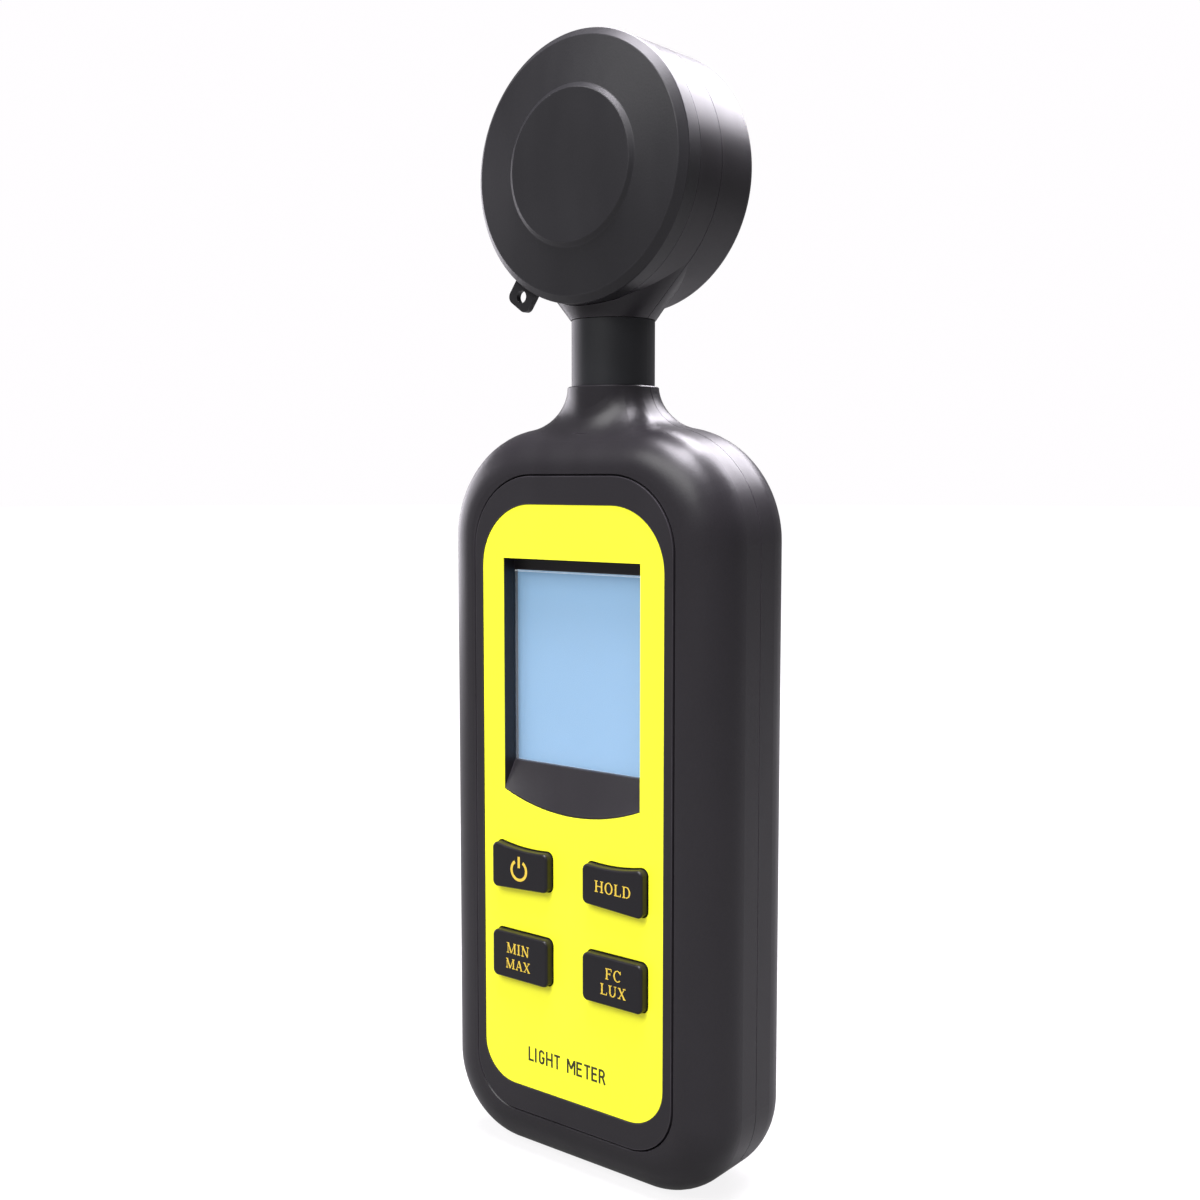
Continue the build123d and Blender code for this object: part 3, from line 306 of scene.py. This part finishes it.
def clear(name, tint, alpha, rim_above=None):
    """Clear moulded window, thinly tinted, with faint polishing marks.

    Above the height rim_above its chamfered edge is made nearly opaque and glows: a painted
    highlight.
    """
    tree = Tree(name)
    haze = tree.noise(1.2 * MM, 5.0, POLISHING)
    wave = tree.noise(11 * MM, 2.0)
    tree.feed("Base Color", tree.blend(tree.spread(wave, *UNIT), tint, shade(tint, 0.96)))
    tree.feed("Roughness", tree.spread(haze, 0.06, 0.11))
    tree.bump((wave, 0.01 * MM, 0.1))
    tree.constants(Alpha=alpha, IOR=ACRYLIC_IOR, Specular_IOR_Level=0.5)
    if rim_above:
        # painted highlight: the top edge made opaque and glowing in the tint
        high = tree.calculate("GREATER_THAN", tree.along("Z"), rim_above)
        painted_rim = tree.calculate("MULTIPLY", tree.edges(RIM_REACH), high)
        tree.feed("Alpha", tree.spread(painted_rim, alpha, RIM_PAINTED_ALPHA, UNIT))
        tree.feed("Emission Strength", tree.calculate("MULTIPLY", painted_rim, RIM_PAINTED_GLOW))
        tree.constants(Emission_Color=(*tint, 1.0))
    return tree.material


def plated(name, colour, roughness):
    """Plated or zinc-coated metal with fine drawn lines and small stains."""
    tree = Tree(name)
    lines = tree.noise(0.5 * MM, 4.0, DRAWN_LINES)
    stain = tree.noise(2.5 * MM, 4.0)
    tree.feed("Base Color", tree.mottle(stain, colour, 0.82, 1.0))
    tree.feed("Roughness", tree.spread(lines, roughness - 0.08, roughness + 0.10))
    tree.bump((lines, 0.004 * MM, 0.35))
    tree.constants(Metallic=1.0)
    return tree.material


def rubbery(name, colour):
    """Rubber or soft jacket: matt, with a fine dusty bloom."""
    tree = Tree(name)
    bloom = tree.noise(0.6 * MM, 5.0)
    tree.feed("Base Color", tree.mottle(bloom, colour, 0.85, 1.25))
    tree.feed("Roughness", tree.spread(bloom, 0.62, 0.8))
    tree.bump((bloom, 0.01 * MM, 0.4))
    tree.constants(Specular_IOR_Level=0.3)
    return tree.material


WEAVE_PITCH = 0.6 * MM
TRACK_PITCH = 6 * MM
TRACK_WIDTH = 0.03  # against the track pitch
TRACK_TONE = 1.9  # the mask over a track against the plain mask


def laminate(name, colour):
    """Circuit board: green mask over a faint weave, with tracks that lie a little lighter."""
    tree = Tree(name)
    weave = tree.nodes.new("ShaderNodeTexChecker")
    weave.inputs["Scale"].default_value = 1.0 / WEAVE_PITCH
    tree.links.new(tree.place, weave.inputs["Vector"])
    upright = tree.nodes.new("ShaderNodeMapping")
    upright.inputs["Rotation"].default_value = (math.pi / 2, 0.0, 0.0)
    tree.links.new(tree.place, upright.inputs["Vector"])
    tracks = tree.nodes.new("ShaderNodeTexBrick")
    tracks.inputs["Scale"].default_value = 1.0 / TRACK_PITCH
    tracks.inputs["Mortar Size"].default_value = TRACK_WIDTH
    tree.links.new(upright.outputs["Vector"], tracks.inputs["Vector"])
    stain = tree.noise(8 * MM)
    base = tree.mottle(stain, colour, 0.85, 1.1)
    base = tree.blend(tracks.outputs["Fac"], base, shade(colour, TRACK_TONE))
    tree.feed("Base Color", base)
    tree.feed("Roughness", tree.spread(stain, 0.28, 0.4))
    tree.bump((weave.outputs["Fac"], 0.004 * MM, 0.2), (tracks.outputs["Fac"], 0.02 * MM, 0.4))
    return tree.material


def opal(name, colour):
    """Opal diffuser: soft white that lets some light through."""
    tree = Tree(name)
    cloud = tree.noise(3 * MM)
    grain = tree.noise(0.2 * MM, 2.0)
    tree.feed("Base Color", tree.mottle(cloud, colour, 0.96, 1.0))
    tree.feed("Roughness", tree.spread(grain, 0.45, 0.58))
    tree.bump((grain, 0.006 * MM, 0.3))
    tree.constants(Subsurface_Weight=0.3, Subsurface_Scale=2 * MM)
    return tree.material


SLEEVE_BLUE, SLEEVE_COPPER = (0.02, 0.045, 0.12), (0.55, 0.23, 0.07)
SLEEVE_SCUFF = (0.10, 0.10, 0.12)
CAN_METAL = (0.6, 0.59, 0.56)
BUTTON_HEIGHT = 0.8 * MM  # positive button, beyond the can's end
BARE_END = 0.9 * MM  # can left bare at each end
COPPER_BAND = 11 * MM  # from the positive end
HEAD_DOWN_CELL = "battery_cell_2"


def cell_sleeve(node):
    """A cell's sleeve: dark blue, a copper band at its positive end, bare metal at both ends."""
    low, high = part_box(node)
    tree = Tree(node + "_sleeve")
    height = tree.along("Z")
    if node == HEAD_DOWN_CELL:
        foot_z, top_z = low.z + BUTTON_HEIGHT, high.z
        band = tree.calculate("LESS_THAN", height, foot_z + COPPER_BAND)
    else:
        foot_z, top_z = low.z, high.z - BUTTON_HEIGHT
        band = tree.calculate("GREATER_THAN", height, top_z - COPPER_BAND)
    inside = tree.calculate(
        "MULTIPLY",
        tree.calculate("GREATER_THAN", height, foot_z + BARE_END),
        tree.calculate("LESS_THAN", height, top_z - BARE_END),
    )
    edge = tree.noise(0.25 * MM)
    sleeve = tree.blend(band, SLEEVE_BLUE, SLEEVE_COPPER)
    sleeve = tree.fleck(sleeve, edge, 0.15, SLEEVE_SCUFF)
    tree.feed("Base Color", tree.blend(inside, CAN_METAL, sleeve))
    tree.feed("Metallic", tree.spread(inside, 1.0, 0.25, UNIT))
    tree.feed("Roughness", tree.spread(edge, 0.24, 0.34))
    tree.bump((edge, 0.003 * MM, 0.3), (inside, 0.08 * MM, 0.6))
    return tree.material


CHARCOAL = (0.0168, 0.0152, 0.0178)
WINDOW_HIGHLIGHT_RIM = 1.2 * MM  # height of the window's strip whose edge carries a painted highlight
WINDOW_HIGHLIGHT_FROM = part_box("window_lens")[1].z - WINDOW_HIGHLIGHT_RIM

# slot: how its material is made, colour, and what else the maker is told
FINISHES = {
    "shell_plastic": (moulded, CHARCOAL, {"roughness": 0.34, "edge_rub_and_highlight": 0.5}),
    "neck_plastic": (moulded, (0.0145, 0.0150, 0.0170), {"roughness": 0.44, **FINE_SKIN}),
    "cap_plastic": (moulded, (0.0165, 0.0160, 0.0180), {"roughness": 0.38, "edge_rub_and_highlight": 0.5}),
    "bezel_plastic": (moulded, CHARCOAL, {"roughness": 0.42, "edge_rub_and_highlight": 1.0}),
    "key_plastic": (
        moulded,
        (0.0100, 0.0093, 0.0110),
        {"roughness": 0.36, "gloss": 0.26, "edge_rub_and_highlight": 0.7, **FINE_SKIN},
    ),
    # the label's glow is painted light that lifts the keys' shadows
    "label_film": (film, (0.95, 0.95, 0.035), {"shadow_lifting_glow": 0.18}),
    "clear_window": (clear, (0.93, 0.97, 1.0), {"alpha": 0.10, "rim_above": WINDOW_HIGHLIGHT_FROM}),
    # the display's glow partly paints over the shade at its top
    "lcd_glass": (display, (0.125, 0.271, 0.434), {"backlight_and_shade_fill": 0.8}),
    "white_plastic": (moulded, (0.74, 0.74, 0.71), {"roughness": 0.45}),
    "dark_frame": (moulded, (0.02, 0.02, 0.02), {"roughness": 0.5}),
    "black_rubber": (rubbery, (0.018, 0.018, 0.018), {}),
    "switch_body": (moulded, (0.03, 0.03, 0.032), {"roughness": 0.4}),
    "board_laminate": (laminate, (0.012, 0.10, 0.04), {}),
    "chip_resin": (moulded, (0.022, 0.022, 0.024), {"roughness": 0.5}),
    "plated_steel": (plated, (0.72, 0.70, 0.66), {"roughness": 0.26}),
    "screw_steel": (plated, (0.16, 0.16, 0.17), {"roughness": 0.34}),
    "diffuser_acrylic": (opal, (0.86, 0.86, 0.84), {}),
    "filter_glass": (clear, (0.25, 0.6, 0.28), {"alpha": 0.6}),
    "lead_jacket": (rubbery, (0.16, 0.16, 0.17), {}),
    "gold_ink": (ink, (0.85, 0.60, 0.06), {}),
    "dark_ink": (ink, (0.035, 0.033, 0.012), {}),
}
MATERIALS = {
    slot: make(slot, colour, **options) for slot, (make, colour, options) in FINISHES.items()
}

for node_name, node_object in NODES.items():
    node_slot = SLOT_OF_NODE[node_name]
    node_object.data.materials.clear()
    node_object.data.materials.append(
        cell_sleeve(node_name) if node_slot == "cell_wrap" else MATERIALS[node_slot]
    )


# ---------------------------------------------------------------- lettering
# A glyph is its width and a list of strokes, on a grid one cap height tall. A line is
# (x0, z0, x1, z1, weight), and an arc is (middle x, middle z, half width, half height, from, to,
# side weight, end weight), its angles in degrees anticlockwise from the right.
THICK, THIN = 0.155, 0.075  # weights of the serif lettering
SERIF = 0.13  # reach of a serif to each side
FOOT_REACH = SERIF + 0.02
TOP, BASE = 1 - THIN / 2, THIN / 2


def stem(x, weight=THICK, low=0.0, feet="both"):
    """Upright stroke up to cap height, with a serif at its head or at both ends."""
    reach = SERIF + weight / 4
    strokes = [(x, low, x, 1.0, weight)]
    if feet == "both":
        strokes.append((x - reach, BASE, x + reach, BASE, THIN))
    strokes.append((x - reach, TOP, x + reach, TOP, THIN))
    return strokes


def foot(x, z):
    """Short level serif."""
    return (x - FOOT_REACH, z, x + FOOT_REACH, z, THIN)


SERIF_GLYPHS = {
    "H": (0.98, stem(0.19) + stem(0.79) + [(0.19, 0.52, 0.79, 0.52, THIN)]),
    "O": (0.96, [(0.48, 0.5, 0.43, 0.52, 0, 360, THICK, THIN)]),
    "L": (0.80, stem(0.19) + [(0.19, BASE, 0.70, BASE, THIN), (0.70, 0.0, 0.73, 0.26, THIN)]),
    "D": (
        0.95,
        stem(0.19)
        + [
            (0.19, TOP, 0.42, TOP, THIN),
            (0.19, BASE, 0.42, BASE, THIN),
            (0.42, 0.5, 0.45, 0.5, -90, 90, THICK, THIN),
        ],
    ),
    "M": (
        1.22,
        stem(0.19, THIN)
        + stem(1.03)
        + [(0.21, 0.98, 0.60, 0.03, THICK), (0.60, 0.03, 1.01, 0.98, THIN)],
    ),
    "I": (0.42, stem(0.21)),
    "N": (
        1.0,
        stem(0.19, THIN)
        + stem(0.82, THIN, feet="high")
        + [(0.17, 0.98, 0.80, 0.03, THICK)],
    ),
    "A": (
        0.92,
        [
            (0.14, BASE, 0.46, 1.0, THIN),
            (0.46, 1.0, 0.78, BASE, THICK),
            (0.24, 0.35, 0.66, 0.35, THIN),
            foot(0.14, BASE),
            foot(0.78, BASE),
        ],
    ),
    "X": (
        0.92,
        [
            (0.17, TOP, 0.75, BASE, THICK),
            (0.75, TOP, 0.17, BASE, THIN),
            foot(0.17, TOP),
            foot(0.75, TOP),
            foot(0.17, BASE),
            foot(0.75, BASE),
        ],
    ),
    "F": (
        0.78,
        stem(0.19)
        + [
            (0.19, TOP, 0.68, TOP, THIN),
            (0.68, 0.76, 0.68, 1.0, THIN),
            (0.19, 0.52, 0.54, 0.52, THIN),
            (0.54, 0.42, 0.54, 0.62, THIN),
        ],
    ),
    "C": (
        0.88,
        [
            (0.48, 0.5, 0.43, 0.52, 42, 318, THICK, THIN),
            (0.80, 0.70, 0.80, 1.0, THIN),
        ],
    ),
    "U": (
        0.96,
        stem(0.20, low=0.34, feet="high")
        + stem(0.78, THIN, low=0.34, feet="high")
        + [(0.47, 0.36, 0.355, 0.38, 180, 360, THICK, THIN)],
    ),
}

PEN = 0.15  # weight of the plain lettering
PLAIN_TOP, PLAIN_BASE = 1 - PEN / 2, PEN / 2
BAR_Z = 0.49  # middle of the bar of an R
BOWL_LOW = BAR_Z - PEN / 2
WORD_SPACE = 0.36

PLAIN_GLYPHS = {
    " ": (WORD_SPACE, []),
    "L": (0.44, [(0.0, 0, 0.0, 1, PEN), (0.0, PLAIN_BASE, 0.40, PLAIN_BASE, PEN)]),
    "I": (0.14, [(0.0, 0, 0.0, 1, PEN)]),
    "G": (
        0.56,
        [
            (0.25, 0.74, 0.25, 0.26, 0, 180, PEN, PEN),
            (PEN / 2, 0.26, PEN / 2, 0.74, PEN),
            (0.25, 0.26, 0.25, 0.26, 180, 360, PEN, PEN),
            (0.5 - PEN / 2, 0.26, 0.5 - PEN / 2, 0.50, PEN),
            (0.27, 0.46, 0.50, 0.46, PEN),
        ],
    ),
    "H": (0.54, [(0.0, 0, 0.0, 1, PEN), (0.46, 0, 0.46, 1, PEN), (0, 0.5, 0.46, 0.5, PEN)]),
    "T": (0.52, [(-0.02, PLAIN_TOP, 0.50, PLAIN_TOP, PEN), (0.24, 0, 0.24, 1, PEN)]),
    "M": (
        0.68,
        [
            (0.0, 0, 0.0, 1, PEN),
            (0.60, 0, 0.60, 1, PEN),
            (0.01, 0.97, 0.30, 0.36, PEN),
            (0.30, 0.36, 0.59, 0.97, PEN),
        ],
    ),
    "E": (
        0.48,
        [
            (0.0, 0, 0.0, 1, PEN),
            (0.0, PLAIN_TOP, 0.42, PLAIN_TOP, PEN),
            (0.0, 0.52, 0.38, 0.52, PEN),
            (0.0, PLAIN_BASE, 0.42, PLAIN_BASE, PEN),
        ],
    ),
    "R": (
        0.52,
        [
            (0.0, 0, 0.0, 1, PEN),
            (0.0, PLAIN_TOP, 0.22, PLAIN_TOP, PEN),
            (0.0, BAR_Z, 0.22, BAR_Z, PEN),
            (0.20, (1 + BOWL_LOW) / 2, 0.25, (1 - BOWL_LOW) / 2, -90, 90, PEN, PEN),
            (0.24, 0.50, 0.45, 0.0, PEN),
        ],
    ),
}

ARC_STEP = 9.0  # degrees
INK_HEIGHT = 0.015 * MM
INK_ROOT = INK_HEIGHT / 2  # how far the ink's back lies inside the face
INK_STEP = 0.0006 * MM  # each stroke lies this much proud of the one before it
INK_LEVELS = 8  # and after so many strokes the steps start again


def stroke_outline(stroke):
    """Outline of a stroke as a list of quads, each four (x, z) corners."""
    if len(stroke) == 5:
        x0, z0, x1, z1, weight = stroke
        run = Vector((x1 - x0, z1 - z0))
        side = Vector((-run.y, run.x)).normalized() * weight / 2
        start, end = Vector((x0, z0)), Vector((x1, z1))
        return [(start - side, end - side, end + side, start + side)]
    x, z, half_w, half_h, first, last, side_weight, end_weight = stroke
    count = max(2, round((last - first) / ARC_STEP))
    rings = []
    for i in range(count + 1):
        angle = math.radians(first + (last - first) * i / count)
        direction = Vector((math.cos(angle), math.sin(angle)))
        outer = Vector((x + half_w * direction.x, z + half_h * direction.y))
        inner = Vector(
            (x + (half_w - side_weight) * direction.x, z + (half_h - end_weight) * direction.y)
        )
        rings.append((outer, inner))
    return [(a[0], b[0], b[1], a[1]) for a, b in zip(rings, rings[1:])]


def spot(point):
    """A point rounded, so that corners which meet are found to be the same."""
    return round(point.x, 6), round(point.y, 6)


def stamp(bm, quads, origin, size, depth, front_y):
    """Adds one stroke as a closed low block that stands depth proud of the face at front_y."""
    seen = {}

    def vertex(point, y):
        key = (*spot(point), y)
        if key not in seen:
            place = (origin[0] + point.x * size, y, origin[1] + point.y * size)
            seen[key] = bm.verts.new(place)
        return seen[key]

    front, back = front_y - depth, front_y + INK_ROOT
    borders = {}
    for quad in quads:
        bm.faces.new([vertex(p, front) for p in quad])
        bm.faces.new([vertex(p, back) for p in reversed(quad)])
        for a, b in zip(quad, quad[1:] + quad[:1]):
            ends = tuple(sorted((spot(a), spot(b))))
            borders[ends] = None if ends in borders else (a, b)
    for pair in borders.values():
        if pair:
            a, b = pair
            bm.faces.new([vertex(b, front), vertex(a, front), vertex(a, back), vertex(b, back)])


def print_strokes(name, entries, front_y, body, slot):
    """Makes one printed piece from (strokes, origin, size) entries."""
    bm = bmesh.new()
    count = 0
    for strokes, origin, size in entries:
        for stroke in strokes:
            depth = INK_HEIGHT + INK_STEP * (count % INK_LEVELS)
            stamp(bm, stroke_outline(stroke), origin, size, depth, front_y)
            count += 1
    bmesh.ops.recalc_face_normals(bm, faces=bm.faces)
    mesh = finished_mesh(name, bm)
    mesh.materials.append(MATERIALS[slot])
    piece = add_object(name, mesh)
    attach(piece, body)


def text_width(word, glyphs, spacing):
    return sum(glyphs[letter][0] + spacing for letter in word) - spacing


def set_word(word, glyphs, centre_x, base_z, width, spacing):
    """Entries for a word of a given width, centred on centre_x and standing on base_z."""
    size = width / text_width(word, glyphs, spacing)
    x = centre_x - width / 2
    entries = []
    for letter in word:
        advance, strokes = glyphs[letter]
        entries.append((strokes, (x, base_z), size))
        x += (advance + spacing) * size
    return entries


def key_print(key, entries):
    """Prints on a key's face, in gold."""
    name = "legend_" + key.removeprefix("key_")
    print_strokes(name, entries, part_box(key)[0].y, BODY_OF_NODE[key], "gold_ink")


def key_centre(key):
    low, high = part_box(key)
    return (low.x + high.x) / 2, (low.z + high.z) / 2


LEGEND_GAP = 0.09  # between the letters of a legend, in cap heights


def legend(key, shift, rows):
    """Gold legend on a key, its rows centred shift to the right of the key's middle.

    A row is (word, width, height of its base line above the key's middle).
    """
    x, z = key_centre(key)
    entries = []
    for word, width, rise in rows:
        entries += set_word(word, SERIF_GLYPHS, x + shift, z + rise, width, LEGEND_GAP)
    key_print(key, entries)


ONE_ROW = -0.85 * MM  # base line of a one-row legend
UPPER_ROW, LOWER_ROW = 0.45 * MM, -2.1 * MM  # base lines of a two-row legend
legend("key_hold", 0.3 * MM, [("HOLD", 7.1 * MM, ONE_ROW)])
legend("key_min_max", -0.3 * MM, [("MIN", 4.9 * MM, UPPER_ROW), ("MAX", 5.3 * MM, LOWER_ROW)])
legend("key_units", 0.4 * MM, [("FC", 3.1 * MM, UPPER_ROW), ("LUX", 5.0 * MM, LOWER_ROW)])

POWER_RADIUS = 1.8 * MM
POWER_DROP = 0.25 * MM  # of the ring's middle below the key's
POWER_OPEN = 32.0  # half angle of the gap in the ring, in degrees
POWER_PEN = 0.26  # this and the bar's ends in ring radii
POWER_BAR = (0.22, 1.25)
POWER_SYMBOL = [
    (0, 0, 1, 1, 90 + POWER_OPEN, 450 - POWER_OPEN, POWER_PEN, POWER_PEN),
    (0, POWER_BAR[0], 0, POWER_BAR[1], POWER_PEN),
]
power_x, power_z = key_centre("key_power")
key_print("key_power", [(POWER_SYMBOL, (power_x, power_z - POWER_DROP), POWER_RADIUS)])

TITLE_X = -0.7 * MM  # its middle
TITLE_RISE = 4.55 * MM  # of its base line above the label's lower edge
TITLE_WIDTH = 15.9 * MM
TITLE_GAP = 0.145  # between its letters, in cap heights
label_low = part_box("face_label")[0]
title_z = label_low.z + TITLE_RISE
title = set_word("LIGHT METER", PLAIN_GLYPHS, TITLE_X, title_z, TITLE_WIDTH, TITLE_GAP)
print_strokes("face_lettering", title, label_low.y, "meter_body", "dark_ink")


# ---------------------------------------------------------------- floor, light and camera
FLOOR_RADIUS = 6.0
FLOOR_SIDES = 96
FLOOR_GAP = 0.02 * MM  # keeps the floor's surface clear of the foot
FLOOR_FADE = (0.35, 1.6)  # distances between which the floor goes from its near to its far tone
FLOOR_NEAR, FLOOR_FAR = 0.88, 1.0  # how bright the camera sees it near and far
FLOOR_GLOW = 0.20  # how much of its brightness the floor throws back on the object
FLOOR_GREYS = (0.10,) * 3, (0.12,) * 3
FLOOR_TINT = (1.0, 0.99, 1.0, 1.0)


def pale_floor():
    """Wide round floor of pale card, only just off white."""
    bm = bmesh.new()
    bmesh.ops.create_circle(bm, cap_ends=True, segments=FLOOR_SIDES, radius=FLOOR_RADIUS)
    mesh = finished_mesh("studio_floor", bm)
    floor = add_object("studio_floor", mesh)
    floor.location.z = CAD_BOX[0].z - FLOOR_GAP
    tree = Tree("studio_floor")
    fibre = tree.noise(3 * MM, 4.0)
    away = tree.nodes.new("ShaderNodeVectorMath")
    away.operation = "LENGTH"
    tree.links.new(tree.place, away.inputs[0])
    fade = tree.spread(away.outputs["Value"], *UNIT, FLOOR_FADE)
    seen = tree.nodes.new("ShaderNodeLightPath").outputs["Is Camera Ray"]
    bright = tree.spread(fade, FLOOR_NEAR, FLOOR_FAR, UNIT)
    lift = tree.calculate("MULTIPLY", bright, tree.spread(seen, FLOOR_GLOW, 1.0, UNIT))
    tree.feed("Base Color", tree.blend(tree.spread(fibre, *UNIT), *FLOOR_GREYS))
    tree.feed("Emission Strength", lift)
    tree.constants(Roughness=0.9, Specular_IOR_Level=0.1, Emission_Color=FLOOR_TINT)
    mesh.materials.append(tree.material)


LAMP_AIM = Vector((0.0, 0.0, 0.10))  # a little above the object's middle
WHITE, LILAC = (1.0, 1.0, 1.0), (0.96, 0.92, 1.0)
SOFT_BOXES = (
    # name, place, size, power in watts, tint
    ("front_box", (-0.04, -0.84, 0.84), (0.9, 0.45), 10.5, WHITE),
    ("high_box", (0.10, -0.14, 1.04), (0.45, 0.50), 26.0, LILAC),
    ("overhead_box", (-0.08, 0.40, 0.92), (0.5, 0.4), 18.0, LILAC),
    ("rear_box", (0.06, 0.74, 0.72), (0.6, 0.4), 9.0, LILAC),
    ("left_box", (-0.87, 0.08, 0.20), (0.8, 0.4), 3.5, LILAC),
)


def soft_box(name, place, size, power, tint):
    """Rectangular area light that looks at LAMP_AIM."""
    data = bpy.data.lights.new(name, "AREA")
    data.shape = "RECTANGLE"
    data.size, data.size_y = size
    data.energy = power
    data.color = tint
    lamp = add_object(name, data)
    lamp.location = place
    lamp.rotation_euler = (LAMP_AIM - lamp.location).to_track_quat("-Z", "Y").to_euler()


BACKDROP_TINT = (1.0, 0.985, 1.0, 1.0)
BACKDROP_WHITE = 1.0
ROOM_GLOW = 0.18  # what the room throws on the object from all round


def studio():
    """White backdrop, dim room, and the soft boxes."""
    world = bpy.data.worlds.new("studio")
    world.use_nodes = True
    tree = world.node_tree
    background = tree.nodes["Background"]
    background.inputs["Color"].default_value = BACKDROP_TINT
    seen = tree.nodes.new("ShaderNodeLightPath").outputs["Is Camera Ray"]
    level = tree.nodes.new("ShaderNodeMapRange")
    level.inputs["To Min"].default_value = ROOM_GLOW
    level.inputs["To Max"].default_value = BACKDROP_WHITE
    tree.links.new(seen, level.inputs["Value"])
    tree.links.new(level.outputs["Result"], background.inputs["Strength"])
    bpy.context.scene.world = world
    for box in SOFT_BOXES:
        soft_box(*box)
    bpy.context.scene.view_settings.view_transform = "Standard"


CAMERA_PLACE = Vector((0.1435, -0.1842, 0.1116))
CAMERA_TURN = math.radians(38.44)  # about the object, from straight in front to its right
CAMERA_DIP = math.radians(4.79)
LENS, SENSOR_WIDTH = 43.46, 36.0  # Blender takes these in millimetres
CLIP_NEAR, CLIP_FAR = 0.01, 20.0


def photo_camera():
    """Camera at the photograph's viewing angle."""
    data = bpy.data.cameras.new("camera")
    data.lens = LENS
    data.sensor_width = SENSOR_WIDTH
    data.clip_start, data.clip_end = CLIP_NEAR, CLIP_FAR
    data.dof.use_dof = False
    camera = add_object("camera", data)
    camera.location = CAMERA_PLACE
    level = math.cos(CAMERA_DIP)
    ahead = Vector(
        (-math.sin(CAMERA_TURN) * level, math.cos(CAMERA_TURN) * level, -math.sin(CAMERA_DIP))
    )
    camera.rotation_euler = ahead.to_track_quat("-Z", "Y").to_euler()
    bpy.context.scene.camera = camera


pale_floor()
studio()
photo_camera()
